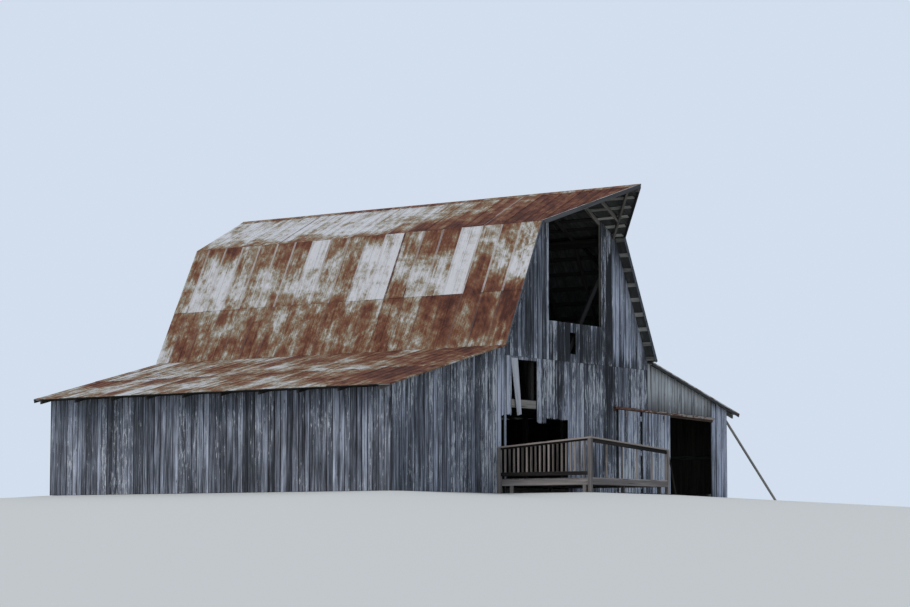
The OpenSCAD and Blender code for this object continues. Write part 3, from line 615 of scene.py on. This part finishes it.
def timber_look(name, greys, tint, bleach=0.0, own=0.4, unbleached_and_shaded=0.0, centre=0.5):
    """Rough sawn timbers, paler by bleach where they look up. own is the weight of a timber's tone.
    Timber behind the front wall is darkened by the indoor setting, as timber no rain bleached and as painted
    shade of the barn's inside."""
    look = Look(name)
    grain, tone = look.grain(), look.tones()
    fibre = look.noise(grain, (70, 70, 2.0), 4, 0.65)
    coarse = look.noise(grain, (9, 9, 0.5), 4, 0.6)
    level = look.around(centre, (tone[0], own), (fibre, 0.7), (coarse, 1.1))
    if bleach:
        level = look.add((look.step(look.upward(), 0.2, 0.9), bleach), base=level)
    # Darker behind the front wall: unbleached timber, and painted shade of the dark inside
    if unbleached_and_shaded:
        depth = look.split(look.place())[1]
        level = look.add((look.inside(depth, *INDOORS, 0.1), unbleached_and_shaded), base=level)
    dark, pale = greys
    colour = look.greys(level, ((0.0, dark), (0.5, (dark * pale) ** 0.5), (1.0, pale)), tint)
    crack = look.step(look.noise(grain, (35, 35, 1.0), 2), 0.30, 0.37)
    colour = look.mix(crack, tuple(dark * 0.3 * share for share in tint), colour)
    return look.finish(colour, 0.9, look.add((fibre, 0.6), (crack, 0.5)), 0.5, 0.004)


# Roof colours from bright zinc through grey-green and brown wash to deep rust
ROOF_COLOURS = (
    (0.00, (0.47, 0.465, 0.475)), (0.18, (0.40, 0.39, 0.385)), (0.31, (0.29, 0.27, 0.23)),
    (0.41, (0.205, 0.168, 0.118)), (0.52, (0.178, 0.108, 0.062)), (0.66, (0.135, 0.055, 0.030)),
    (0.84, (0.098, 0.035, 0.021)), (1.00, (0.055, 0.020, 0.014)),
)
ROOF_DIRT = (0.085, 0.066, 0.054)
RUSTED_SEAM = (0.075, 0.030, 0.024)
# Pale seam colour is a painted highlight along the raised laps
PALE_SEAM_HIGHLIGHT = (0.46, 0.43, 0.42)


def roof_look(name):
    """Galvanised sheet with rust that runs down the slope, and an underside painted dark as shade. The tone
    holds a sheet's rust, its seams' kind from 0, rusted, to 1, pale as a painted highlight, and where its
    seams are."""
    look = Look(name)
    grain, tone = look.grain(), look.tones()
    streak = look.noise(grain, (8.0, 0.5, 1.0), 5, 0.62)
    fine = look.noise(grain, (34.0, 1.1, 1.0), 4, 0.7)
    patch = look.noise(grain, (1.9, 1.4, 0.0), 5, 0.66)
    mottle = look.noise(grain, (8.0, 5.5, 0.0), 5, 0.75)
    spots = look.noise(grain, (38.0, 22.0, 0.0), 4, 0.7)
    wear = look.around(0.0, (streak, 0.55), (fine, 0.6), (patch, 1.8), (mottle, 0.95), (spots, 0.4))
    wear = look.math("ADD", wear, tone[0])
    colour = look.ramp(wear, ROOF_COLOURS)
    dirt = look.step(look.add((fine, 0.55), (spots, 0.45)), 0.53, 0.68, 0.0, 0.5)
    colour = look.mix(dirt, colour, ROOF_DIRT)
    # Seams: rusted ones are rust, pale ones are a painted highlight on the raised laps
    kind = look.mix(look.step(tone[1], 0.45, 0.55), RUSTED_SEAM, PALE_SEAM_HIGHLIGHT)
    strength = look.math("ABSOLUTE", look.add((tone[1], 2.0), base=-1.0))
    broken = look.step(look.add((fine, 0.5), (mottle, 0.5)), 0.36, 0.58, 0.25, 1.0)
    colour = look.mix(look.times(tone[2], strength, broken), colour, kind)
    # Painted shade: faces that look down get a dark colour that stands in for the shade under the roof
    under = look.step(look.upward(), 0.02, -0.02)
    old = look.around(0.5, (streak, 1.2), (mottle, 1.2))
    old = look.greys(old, ((0.0, 0.022), (0.6, 0.07), (1.0, 0.14)), (0.98, 1.0, 0.96))
    colour = look.mix(under, colour, old)
    rough = look.step(wear, 0.2, 0.6, 0.55, 0.88)
    metal = look.step(wear, 0.0, 0.5, 0.12, 0.0)
    height = look.add((spots, look.step(wear, 0.3, 0.7, 0.15, 0.7)), (fine, 0.2))
    return look.finish(colour, rough, height, 0.35, 0.003, metal)


IRON_COLOURS = ((0.15, (0.03, 0.017, 0.014)), (0.55, (0.10, 0.045, 0.03)), (0.9, (0.22, 0.11, 0.07)))


def iron_look(name):
    """Scaling rust, with paler flecks towards the track's right end."""
    look = Look(name)
    place = look.place()
    scale = look.noise(place, (16, 60, 22), 5, 0.7)
    broad = look.noise(place, (2.3, 2.3, 2.3), 3, 0.6)
    level = look.around(0.5, (scale, 1.3), (broad, 0.8))
    colour = look.ramp(level, IRON_COLOURS)
    chips = look.noise(place, (5, 30, 34), 4, 0.7)
    more = look.step(look.split(place)[0], 2.5, 6.0, 0.0, 0.12)
    pale = look.step(look.math("ADD", chips, more), 0.56, 0.64)
    colour = look.mix(look.times(pale, 0.8), colour, (0.36, 0.33, 0.30))
    return look.finish(colour, 0.85, scale, 0.6, 0.003, 0.1)


class Slope:
    """Outer face of a roof node, as distances down the slope at each place along the barn."""

    def __init__(self, node):
        mesh = NODES[node].data
        best = max(mesh.polygons, key=lambda poly: poly.area if poly.normal.z > 0.05 else 0)
        self.normal = best.normal.copy()
        self.down = Vector((self.normal.z, 0, -self.normal.x))
        if self.down.z > 0:
            self.down = -self.down
        level = best.center.dot(self.normal)
        flat = [poly for poly in mesh.polygons if poly.normal.dot(self.normal) > 0.9999
                and abs(poly.center.dot(self.normal) - level) < 0.002]
        corners = {i for poly in flat for i in poly.vertices}
        points = {tuple(round(value, 4) for value in mesh.vertices[i].co) for i in corners}
        peak = max(points, key=lambda point: point[2])
        self.origin = Vector((peak[0], 0, peak[2]))
        self.flat = [(y, (Vector((x, y, z)) - self.origin).dot(self.down)) for x, y, z in points]
        self.front = min(y for y, _ in self.flat)
        self.end = max(y for y, _ in self.flat)

    def reach(self, y):
        """Distance down the slope of the sheet's upper and lower edge at y."""
        y = min(max(y, self.front + 1e-4), self.end - 1e-4)
        cuts = []
        for a in self.flat:
            for b in self.flat:
                if a[0] < y < b[0]:
                    cuts.append(a[1] + (b[1] - a[1]) * (y - a[0]) / (b[0] - a[0]))
        return min(cuts), max(cuts)

    def point(self, y, s, height):
        return self.origin + BACK * y + self.down * s + self.normal * height


def between(knots, t):
    """Value at the share t of a list of evenly spaced values."""
    at = t * (len(knots) - 1)
    index = min(int(at), len(knots) - 2)
    return knots[index] + (knots[index + 1] - knots[index]) * (at - index)


def sheet_places(slope, left):
    """Distances across a sheet at which it has points: round its crimps, seams and the slope's ends."""
    width = SHEET_COVER + SHEET_LAP
    places = {0.0, SEAM_LEFT, SEAM_LEFT + SEAM_EDGE, 0.16, 0.45, SEAM_RIGHT - SEAM_EDGE, SEAM_RIGHT, width}
    for centre in CRIMP_PLACES:
        places |= {centre - CRIMP_HALF, centre, centre + CRIMP_HALF}
    kept = [place for place in places if slope.front < left + place < slope.end]
    kept += [edge - left for edge in (slope.front, slope.end) if 0 < edge - left < width]
    return sorted(kept)


def sheet_starts(slope):
    """Left edges of the sheets of a slope, one cover apart."""
    left = math.floor((slope.front - SHEET_START) / SHEET_COVER + 0.01) * SHEET_COVER + SHEET_START
    while left < slope.end - 0.05:
        yield left
        left += SHEET_COVER


def add_sheet(pieces, slope, left, start, stop, lift, more, rust, kind):
    """One crimped sheet between the shares start and stop of a slope, longer by the distances in
    more, up and down. rust holds values from its upper to its lower end, and kind says how rusted
    its seams are or how pale, the pale being a painted highlight."""
    places = sheet_places(slope, left)
    seed = pieces.grain_start(2)
    curl = pieces.rng.uniform(0.0, 0.008)
    slip = pieces.rng.uniform(-0.004, 0.006)
    if len(places) < 2 or places[-1] - places[0] < 0.03:
        return
    reaches = [slope.reach(left + place) for place in places]
    full = max(s1 - s0 for s0, s1 in reaches)
    rows = max(2, math.ceil(full * (stop - start) / SHEET_ROW) + 1)
    points, grain, tone = [], [], []
    for row in range(rows):
        t = row / (rows - 1)
        for place, (s0, s1) in zip(places, reaches):
            y = left + place
            a = s0 + (s1 - s0) * start - more[0]
            b = s0 + (s1 - s0) * stop + slip + more[1]
            s = a + (b - a) * t
            crimp = max(0.0, 1 - min(abs(place - centre) for centre in CRIMP_PLACES) / CRIMP_HALF)
            # Seam colour along the laps and, weaker, on the crimps: rust where rusted, a painted highlight
            # where pale
            seam = 1.0 if place <= SEAM_LEFT + 1e-6 or place >= SEAM_RIGHT - 1e-6 else 0.2 * crimp
            height = -SHEET_DEPTH + lift + CRIMP_RISE * crimp + 0.0012 * place / SHEET_COVER
            height += 0.0022 * noise.noise(seed + Vector((place * 3.1, s * 1.7, 0)))
            height += curl * max(0, t - 0.8) ** 2 * 25
            points.append(slope.point(y, s, height))
            grain.append((y, s, seed.x))
            tone.append((min(max(between(rust, t), 0.0), 1.0), kind, seam))
    faces = [[a, d, c, b] for a, b, c, d in grid(rows, len(places))]
    pieces.add(points, faces, grain, tone, turned=slope.normal.x < 0)


def roof_sheets(node, seed, courses, rust_of, material, up, down):
    """All sheets of one slope, which lap at the shares in courses. rust_of gives a sheet's rust and
    seams, and the first course is longer by the distance up, the last by the distance down."""
    slope = Slope(node)
    pieces = Pieces(seed)
    last = len(courses) - 2
    for left in sheet_starts(slope):
        for index, (start, stop) in enumerate(zip(courses, courses[1:])):
            under = COURSE_LAP if index < last else 0.0
            lift = COURSE_LIFT * (last - index)
            more = (0.0 if index else up, down if index == last else 0.0)
            rust, kind = rust_of(pieces.rng, left, index)
            add_sheet(pieces, slope, left, start, stop + under, lift, more, rust, kind)
    pieces.build_sheet(node + "_sheets", material, node)


# Rust of the steep left slope, sheet by sheet from the front: upper course and lower course, each
# from its upper to its lower end, and its seams from -1, rusted, to 1, pale as a painted highlight
STEEP_RUST = (
    ((0.5, 0.4, 0.0, 1.0), (1.0, 0.9, 0.5), 0.7),
    ((0.6, 0.4, 0.4, 0.8), (0.5, 0.9, 0.5), 0.8),
    ((0.4, 0.4, 0.7, 0.9), (0.9, 0.6, 0.4), 1.0),
    ((0.1, 0.0, 0.0, 0.0), (0.9, 0.7, 0.5), 0.3),
    ((0.8, 0.5, 0.2, 0.2), (0.8, 0.6, 0.5), 0.6),
    ((0.6, 0.6, 0.1, 0.3), (0.6, 0.5), 0.5),
    ((0.5, 0.4, 0.4, 0.5), (0.6, 0.7), -1.0),
    ((0.1, 0.0, 0.0, 0.1), (0.4, 0.6), 0.7),
    ((0.7, 0.0, 0.1, 0.3), (0.5, 0.6), -0.2),
    ((0.6, 0.4, 0.4, 0.7), (0.6, 0.6), 0.6),
    ((0.5, 0.4, 0.3, 0.6), (0.5, 0.6), 0.7),
    ((0.1, 0.0, 0.1, 0.5), (0.5, 0.6), 0.5),
    ((0.8, 0.5, 0.2, 0.5), (0.4, 0.6), 0.8),
    ((0.7, 0.6, 0.3, 0.5), (0.5, 0.6), 0.9),
    ((0.6, 0.5, 0.3, 0.5), (0.5, 0.6), 0.8),
    ((0.3, 0.4, 0.1, 0.3), (0.5, 0.6), 0.8),
    ((0.7, 0.2, 0.1, 0.2), (0.4, 0.6), 0.7),
    ((0.8, 0.3, 0.1, 0.2), (0.5, 0.6), 0.8),
)
LOWER_SEAMS = 0.12


def seam_kind(rng):
    """Seams of a sheet whose place doesn't show: mostly like the sheet, a few rusted, a few pale as a
    painted highlight.
    """
    return 0.5 + 0.5 * rng.uniform(-1, 1) ** 3


def steep_rust(rng, left, course):
    index = round((left - SHEET_START) / SHEET_COVER)
    drift = rng.uniform(-0.05, 0.05)
    other = seam_kind(rng)
    if index < len(STEEP_RUST):
        row = STEEP_RUST[max(index, 0)]
        kind = 0.5 + 0.5 * row[2] * (LOWER_SEAMS if course else 1.0)
        return [value + drift for value in row[course]], kind
    return [rng.uniform(0.45, 0.7), 0.45 + drift, rng.uniform(0.15, 0.4)], other


# Rust of the upper left slope: distance along the barn, and rust from the ridge to the lower edge
UPPER_RUST = (
    (-2.0, (0.8, 0.9, 0.9, 0.9)), (0.5, (0.8, 0.8, 0.9, 0.9)), (2.2, (0.5, 0.5, 0.7, 1.0)),
    (4.2, (0.3, 0.3, 0.4, 0.9)), (5.0, (0.3, 0.1, 0.1, 0.5)), (12.0, (0.3, 0.2, 0.1, 0.6)),
)


def upper_rust(rng, left, course):
    """The front of the upper slope is rusted through and through, the rest in patches."""
    drift = rng.uniform(-0.07, 0.07)
    kind = seam_kind(rng)
    for (y0, first), (y1, second) in zip(UPPER_RUST, UPPER_RUST[1:]):
        if left <= y1:
            share = max(0.0, (left - y0) / (y1 - y0))
            return [a + (b - a) * share + drift for a, b in zip(first, second)], kind
    return UPPER_RUST[-1][1], kind


def plain_rust(rng, left, course):
    """Sheets whose place doesn't show in the photo: rusty above, brown, and greyer below."""
    top = rng.uniform(0.25, 0.9)
    return [top, rng.uniform(0.2, 0.7), rng.uniform(0.05, 0.3) + top * 0.35], seam_kind(rng)


def lean_left_rust(rng, left, course):
    """The front end of the left lean-to is rusted through."""
    rust, kind = plain_rust(rng, left, course)
    return [value + 0.35 * max(0.0, 1 - (left - SHEET_START) / 2.4) for value in rust], kind


def ridge_rolls(material):
    """Ridge cap in lengths that lap, each with a small roll along the top, and the first one cut
    along the hood's slanted edge."""
    low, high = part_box("ridge_cap")
    pieces = Pieces(seed=31)
    half = (high[0] - low[0]) / 2
    drop = high[2] - low[2] - CAP_SINK
    profile = [(-half, -drop), (-half * 0.55, -drop * 0.55), (-CAP_ROLL, -CAP_ROLL * 0.4),
               (-CAP_ROLL * 0.8, CAP_ROLL * 0.25)]
    profile += [(0.0, CAP_ROLL * 0.55)] + [(-x, z) for x, z in profile[::-1]]
    slant = (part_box("roof_steep_left")[0][1] - low[1]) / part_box("roof_upper_right")[1][0]
    y = low[1]
    index = 0
    while y < high[1] - 0.05:
        end = min(y + CAP_LENGTH, high[1])
        points, grain = [], []
        rust = pieces.rng.uniform(0.5, 0.9)
        for row in range(CAP_ROWS):
            for x, z in profile:
                start = y + slant * abs(x) * (index == 0)
                at = start + (end - start) * row / (CAP_ROWS - 1)
                sway = noise.noise(Vector((at * 0.8, x * 4, index))) * 0.003
                points.append(Vector((x, at, high[2] - CAP_SINK + z + sway + 0.002 * (index % 2))))
                grain.append((at, abs(x), 0.0))
        pieces.add(points, grid(CAP_ROWS, len(profile)), grain, (rust, 0.5, 0.0))
        y += CAP_LENGTH - CAP_LAP
        index += 1
    pieces.build_sheet("ridge_cap_lengths", material, "ridge_cap", side=1)


def nail_row(pieces, slope, y, spacing):
    """Nails down a slope along one crimp."""
    top, foot = slope.reach(y)
    for i in range(int((foot - top - 0.08) / spacing) + 1):
        s = top + 0.06 + i * spacing + pieces.rng.uniform(-0.01, 0.01)
        centre = slope.point(y, s, CRIMP_RISE - SHEET_DEPTH + 0.001)
        add_nail(pieces, centre, BACK, slope.down, slope.normal)


def roof_nails(material):
    """Nails along two crimps of each sheet of all slopes, over the laths."""
    pieces = Pieces(seed=37)
    for part, spacing in (("upper", 0.42), ("steep", 0.48), ("leanto", 0.52)):
        for side in ("left", "right"):
            slope = Slope(f"roof_{part}_{side}")
            for y in (left + crimp for left in sheet_starts(slope) for crimp in CRIMP_PLACES[:2]):
                if slope.front + NAIL_MARGIN < y < slope.end - NAIL_MARGIN:
                    nail_row(pieces, slope, y, spacing)
    pieces.build("roof_nail_heads", "rusty_iron", material)


def wall_thick(node):
    low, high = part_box(node)
    return min(high[1] - low[1], high[0] - low[0]) - 0.0005


def torn_ends(low, high):
    """Board ends round the broken openings are torn, the others are sawn."""
    foot = TORN_END if 0.3 < low < 3.0 else 0.0
    head = TORN_END * 0.5 if high < 3.0 else 0.0
    return foot, head


# Parts of the front wall, and what is special about their boards
FRONT_WALLS = {
    "gable_left_boards": {"ends": (None, 0.12)},
    "gable_right_boards": {"ends": (0.26, None)},
    "gable_slot_panel": {},
    "front_wall_left": {"torn": torn_ends},
    "front_wall_center": {},
    "leanto_gable_right": {"gaps": TIGHT_GAPS},
    "leanto_corner_right": {"ends": (0.30, None), "wide": CORNER_GAP},
    "leanto_front_left": {},
}


def front_boards(material, faded):
    """Boards of the front wall, one piece for each part of the wall."""
    for seed, (node, more) in enumerate(FRONT_WALLS.items(), 1):
        pieces = Pieces(seed)
        add_siding(pieces, node, -BACK, RIGHT, wall_thick(node), **more)
        slot, finish = "weathered_boards", material
        if node == "leanto_gable_right":
            slot, finish = "faded_boards", faded
        pieces.build(node + "_siding", slot, finish, node)


def other_boards(material):
    """Back wall, back gable and side walls."""
    for node, seed in (("back_gable", 11), ("back_wall", 12)):
        pieces = Pieces(seed)
        add_siding(pieces, node, BACK, -RIGHT, wall_thick(node), gaps=TIGHT_GAPS)
        pieces.build(node + "_siding", "weathered_boards", material, node)
    pieces = Pieces(seed=13)
    thick = wall_thick("front_wall_center")
    add_siding(pieces, "side_walls", -RIGHT, -BACK, thick)
    add_siding(pieces, "side_walls", RIGHT, BACK, thick, gaps=TIGHT_GAPS)
    pieces.build("side_wall_siding", "weathered_boards", material, "side_walls")


def door_leaf(material):
    """Boards of the sliding door on three ledges."""
    low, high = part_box("sliding_door")
    pieces = Pieces(seed=21)
    top = high[2] - LEAF_FALL
    feet = (low[2] + LEDGE_FOOT, (low[2] + top) / 2 - LEDGE_WIDTH / 2, top - LEDGE_WIDTH - LEDGE_INSET)
    add_siding(pieces, "sliding_door", -BACK, RIGHT, LEAF_THICK, mean=LEAF_BOARD,
               nails=[z + LEDGE_WIDTH / 2 for z in feet])
    for z in feet:
        place = Vector((low[0] + LEDGE_INSET, low[1] + LEAF_THICK + 0.0005, z + LEDGE_WIDTH))
        length = high[0] - low[0] - 2 * LEDGE_INSET
        add_bar(pieces, place, -UP, RIGHT, LEDGE_WIDTH, LEDGE_THICK, 0, length, bow=0.0)
    pieces.build("sliding_door_boards", "weathered_boards", material, "sliding_door", body="door")


def floor_boards(node, seed, mean, slot, material):
    """Floor boards that run from left to right."""
    low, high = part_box(node)
    pieces = Pieces(seed)
    thick = high[2] - low[2] - 0.001
    for start, width in widths_between(pieces.rng, low[1], high[1], mean):
        place = Vector((low[0], start + width - FLOOR_GAP / 2, high[2]))
        reach = high[0] - low[0] + pieces.rng.uniform(-0.012, 0.0)
        add_bar(pieces, place, -BACK, RIGHT, width - FLOOR_GAP, thick, 0, reach, bow=0.002)
    pieces.build(node + "_boards", slot, material, node)


def under_rail(share):
    """Height of a falling top rail's underside at a share of its length."""
    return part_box("deck_rails")[1][2] - RAIL_THICK - RAIL_DROP * share


def falling(start, end, out):
    """Direction and length of a rail that falls from start to end in the direction out."""
    run = out * (end - start) - UP * RAIL_DROP
    return run.normalized(), run.length


def add_baluster(pieces, x, y, across, low, high):
    add_bar(pieces, Vector((x, y, 0)), across, UP, BALUSTER, BALUSTER, low, high,
            shade=pieces.rng.uniform(*BALUSTER_SHADES))


def side_rail(pieces):
    """Rail along the deck's left side, from the front corner to the wall."""
    (left, front, _), (_, wall, top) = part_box("deck_rails")
    along, length = falling(front, wall, BACK)
    add_bar(pieces, Vector((left, front, top)), RIGHT, along, RAIL_POST, RAIL_THICK, 0, length,
            **TOP_RAIL)
    middle = left + (RAIL_POST - BALUSTER) / 2
    start, end = front + RAIL_POST, wall - RAIL_POST
    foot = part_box("deck_floor")[1][2] + RAIL_LIFT
    place = Vector((middle, front, under_rail(0) - RAIL_DEPTH / 2))
    add_bar(pieces, place, UP, along, RAIL_DEPTH / 2 - 0.001, BALUSTER, RAIL_POST,
            length - RAIL_POST, **LOWER_RAIL)
    add_bar(pieces, Vector((middle, start, foot)), UP, BACK, RAIL_DEPTH, BALUSTER, 0, end - start,
            **LOWER_RAIL)
    for i in range(1, SIDE_BALUSTERS + 1):
        y = start + i * (end - start) / (SIDE_BALUSTERS + 1)
        upper = under_rail((y - front) / (wall - front)) - RAIL_DEPTH / 2
        add_baluster(pieces, middle, y + BALUSTER / 2, -BACK, foot + RAIL_DEPTH, upper)


def front_rail(pieces):
    """Rail along the deck's front: its top rail, the board under it and a few balusters."""
    front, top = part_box("deck_rails")[0][1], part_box("deck_rails")[1][2]
    left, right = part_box("deck_floor")[0][0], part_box("deck_floor")[1][0]
    along, length = falling(left, right, RIGHT)
    add_bar(pieces, Vector((left, front + RAIL_POST, top)), -BACK, along, RAIL_POST, RAIL_THICK, 0,
            length + RAIL_POST, **TOP_RAIL)
    middle = front + (RAIL_POST - BALUSTER) / 2
    add_bar(pieces, Vector((left, middle, under_rail(0) - 0.001)), -UP, along, RAIL_DEPTH, BALUSTER,
            0, length, **LOWER_RAIL)
    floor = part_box("deck_floor")[1][2]
    for i in range(1, FRONT_BALUSTERS + 1):
        x = left + i * (right - left) / (FRONT_BALUSTERS + 1)
        upper = under_rail((x - left) / (right - left)) - RAIL_DEPTH
        add_baluster(pieces, x - BALUSTER / 2, middle, RIGHT, floor, upper)


def rail_boards(material):
    """Rails and balusters of the deck. The thin pole on its end post keeps its CAD shape."""
    pieces = Pieces(seed=25)
    side_rail(pieces)
    front_rail(pieces)
    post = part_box("deck_posts")[1][0]
    for points, faces, normal in worn_solids("deck_rails"):
        if min(point.x for point in points) > post - 0.01:
            add_timber(pieces, points, faces, normal)
    pieces.build("deck_rail_boards", "deck_timber", material, "deck_rails")


def edge_trim(node, depth, material, rust=0.5):
    """Sheet folded down over the front edge of a slope."""
    slope = Slope(node)
    top, foot = min(s for _, s in slope.flat), max(s for _, s in slope.flat)
    upper = min(y for y, s in slope.flat if s < (top + foot) / 2)
    lower = min(y for y, s in slope.flat if s > (top + foot) / 2)
    count = math.ceil((foot - top) / SHEET_ROW) + 1
    pieces = Pieces(seed=51)
    points, grain = [], []
    for i in range(count):
        t = i / (count - 1)
        s = top + (foot - top) * t
        y = upper + (lower - upper) * t
        sway = pieces.rng.uniform(-0.002, 0.002)
        fold = ((0.03, 0.0075), (-0.001, 0.0085), (-0.003, 0.004 - depth), (0.002, sway - depth))
        for across, height in fold:
            points.append(slope.point(y + across, s, height))
            grain.append((y + across, s, height))
    pieces.add(points, grid(count, len(fold)), grain, (rust, 0.5, 0.0), turned=slope.normal.x > 0)
    pieces.build_sheet(node + "_edge", material)


def edge_trims(dark, sheet):
    """Front edges of all slopes: dark on the steep ones, partly as a painted shadow line, and of bare sheet
    on the others.
    """
    edge_trim("roof_steep_left", 0.045, dark)
    edge_trim("roof_steep_right", 0.10, dark)
    for node, rust in (("roof_upper_left", 0.15), ("roof_upper_right", 0.15), ("roof_leanto_left", 0.5),
                       ("roof_leanto_right", 0.3)):
        edge_trim(node, 0.028, sheet, rust)


def dress_iron(material):
    """Finish of the frame pieces that keep their own shape."""
    for node in ("door_track", "door_hangers"):
        for slot in NODES[node].material_slots:
            slot.material = material


def spread(start, end):
    """Grid lines, evenly spaced between start and end, and further and further apart outside."""
    count = round((end - start) / FINE_STEP)
    lines = [start + (end - start) * i / count for i in range(count + 1)]
    step = 1.0
    while lines[-1] < GROUND_END:
        lines.append(lines[-1] + step)
        lines.insert(0, lines[0] - step)
        step *= 1.22
    return lines


def ground(material):
    """Pale floor: level at the walls, the deck and the prop's foot, and falling away from them."""
    pads = []
    for node in ("side_walls", "deck_frame"):
        low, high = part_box(node)
        pads.append((low[0], high[0], low[1], high[1]))
    low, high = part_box("prop_pole")
    pads.append((high[0] - 0.15, high[0], low[1], low[1] + 0.1))
    xs, ys = spread(*FINE_X), spread(*FINE_Y)
    points = []
    for y in ys:
        for x in xs:
            away = min(math.hypot(max(x0 - x, 0, x - x1), max(y0 - y, 0, y - y1))
                       for x0, x1, y0, y1 in pads)
            points.append((x, y, -GROUND_FALL * GROUND_REACH * (1 - math.exp(-away / GROUND_REACH))))
    floor = mesh_object("ground", points, grid(len(ys), len(xs)), material)
    floor.data.shade_smooth()


def plain_look(name, colour):
    look = Look(name)
    look.feed(look.shader.inputs["Base Color"], colour)
    look.feed(look.shader.inputs["Roughness"], 0.95)
    return look.material


def light_scene():
    scene = bpy.context.scene
    scene.view_settings.view_transform = "Standard"
    world = bpy.data.worlds.new("studio")
    scene.world = world
    world.use_nodes = True
    sky = world.node_tree.nodes["Background"]
    sky.inputs["Color"].default_value = (0.76, 0.86, 1.0, 1.0)
    sky.inputs["Strength"].default_value = 0.85
    lamp = bpy.data.lights.new("soft_sun", "SUN")
    lamp.energy = 1.6
    lamp.angle = math.radians(28)
    lamp.color = (1.0, 0.96, 0.92)
    sun = new_object("soft_sun", lamp)
    sun.rotation_euler = Vector((-0.72, 0.12, 0.95)).to_track_quat("Z", "Y").to_euler()


def place_camera():
    lens = bpy.data.cameras.new("camera")
    lens.sensor_width = SENSOR_WIDTH
    lens.lens = CAMERA_LENS
    lens.clip_end = 1000
    camera = new_object("camera", lens)
    camera.location = CAMERA_PLACE
    camera.rotation_euler = (math.radians(90 + CAMERA_PITCH), 0, math.radians(-CAMERA_YAW))
    bpy.context.scene.camera = camera


place_camera()
light_scene()
ground(plain_look("pale_floor", (0.50, 0.50, 0.48)))

SLATE = (0.92, 1.0, 1.20)
front_finish = board_look("front_board_finish", 0.52, SLATE, FRONT_DARK_AND_PALE, 0.10, (2.3, 3.5))
board_finish = board_look("board_finish", 0.50, SLATE, flecks=0.05)
faded_finish = board_look("faded_board_finish", 0.96, (0.97, 1.0, 1.02), flecks=0.06,
                          foot=(-0.42, 0.75), contrast=0.38)
leaf_finish = board_look("leaf_board_finish", 0.74, SLATE, flecks=0.12)
roof_finish = roof_look("roof_sheet_finish")
iron_finish = iron_look("rusty_iron_finish")
# Dark finish of the steep edge trims, partly a painted shadow line along the roof's edge
edge_and_shadow_finish = timber_look("roof_edge_finish", (0.035, 0.14), (0.92, 1.0, 1.16), own=0.0)
# Frame timber is darkened indoors, partly as painted shade of the barn's inside
inner_timber = timber_look("inner_timber", (0.018, 0.24), (1.0, 0.94, 0.84), unbleached_and_shaded=-0.7, centre=0.86)
deck_timber = timber_look("deck_timber", (0.08, 0.36), (1.0, 0.90, 0.86), 0.2)
rail_timber = timber_look("rail_timber", (0.013, 0.27), (1.0, 0.85, 0.76), 0.5, own=1.2)

front_boards(front_finish, faded_finish)
other_boards(board_finish)
door_leaf(leaf_finish)
floor_boards("deck_floor", 22, 0.14, "deck_timber", deck_timber)
floor_boards("loft_floor", 23, 0.20, "frame_timber", inner_timber)
for node, seed, courses, rust_of, up, down in (
        ("roof_upper_left", 41, (0.0, 1.0), upper_rust, 0.0, 0.0),
        ("roof_upper_right", 42, (0.0, 1.0), plain_rust, 0.0, 0.0),
        ("roof_steep_left", 43, (0.0, 0.533, 1.0), steep_rust, 0.0, OVER_LAP),
        ("roof_steep_right", 44, (0.0, 0.56, 1.0), plain_rust, 0.0, OVER_LAP),
        ("roof_leanto_left", 45, (0.0, 0.5, 1.0), lean_left_rust, UNDER_LAP, 0.0),
        ("roof_leanto_right", 46, (0.0, 0.5, 1.0), plain_rust, UNDER_LAP, 0.0)):
    roof_sheets(node, seed, courses, rust_of, roof_finish, up, down)
edge_trims(edge_and_shadow_finish, roof_finish)
ridge_rolls(roof_finish)
roof_nails(iron_finish)
worn_timbers("frame_timber", inner_timber, "upper_rafters", "steep_rafters", "leanto_rafters",
             "ridge_board", "purlin_beams", "purlin_posts", "wall_plates", "wall_posts",
             "sill_beams", "wall_girts", "loft_beams", "loft_joists")
for node, slot, name, greys, tint, more in (
        # Braces: nearly black, which is painted shade
        ("braces", "frame_timber", "shaded_brace_timber", (0.005, 0.02), (1.0, 0.93, 0.84), {}),
        # Laths: pale ends outside, darkened indoors partly as painted shade
        ("roof_lath", "frame_timber", "lath_timber", (0.035, 0.48), (1.0, 0.97, 0.88),
         {"unbleached_and_shaded": -1.2, "centre": 0.78}),
        ("hood_rafters", "frame_timber", "hood_timber", (0.10, 0.36), (1.0, 0.95, 0.84), {}),
        ("track_board", "frame_timber", "track_timber", (0.030, 0.12), (1.0, 0.66, 0.52), {}),
        ("rake_boards", "weathered_boards", "rake_timber", (0.022, 0.105), (0.98, 1.0, 1.06),
         {"bleach": 0.2}),
        ("loose_board", "weathered_boards", "pale_timber", (0.22, 0.52), (0.98, 1.0, 1.06), {}),
        ("prop_pole", "weathered_boards", "pole_timber", (0.13, 0.36), (1.0, 0.94, 0.84), {})):
    worn_timbers(slot, timber_look(name, greys, tint, **more), node)
worn_timbers("deck_timber", deck_timber, "deck_frame", "deck_posts")
rail_boards(rail_timber)
dress_iron(iron_finish)

bpy.context.view_layer.update()
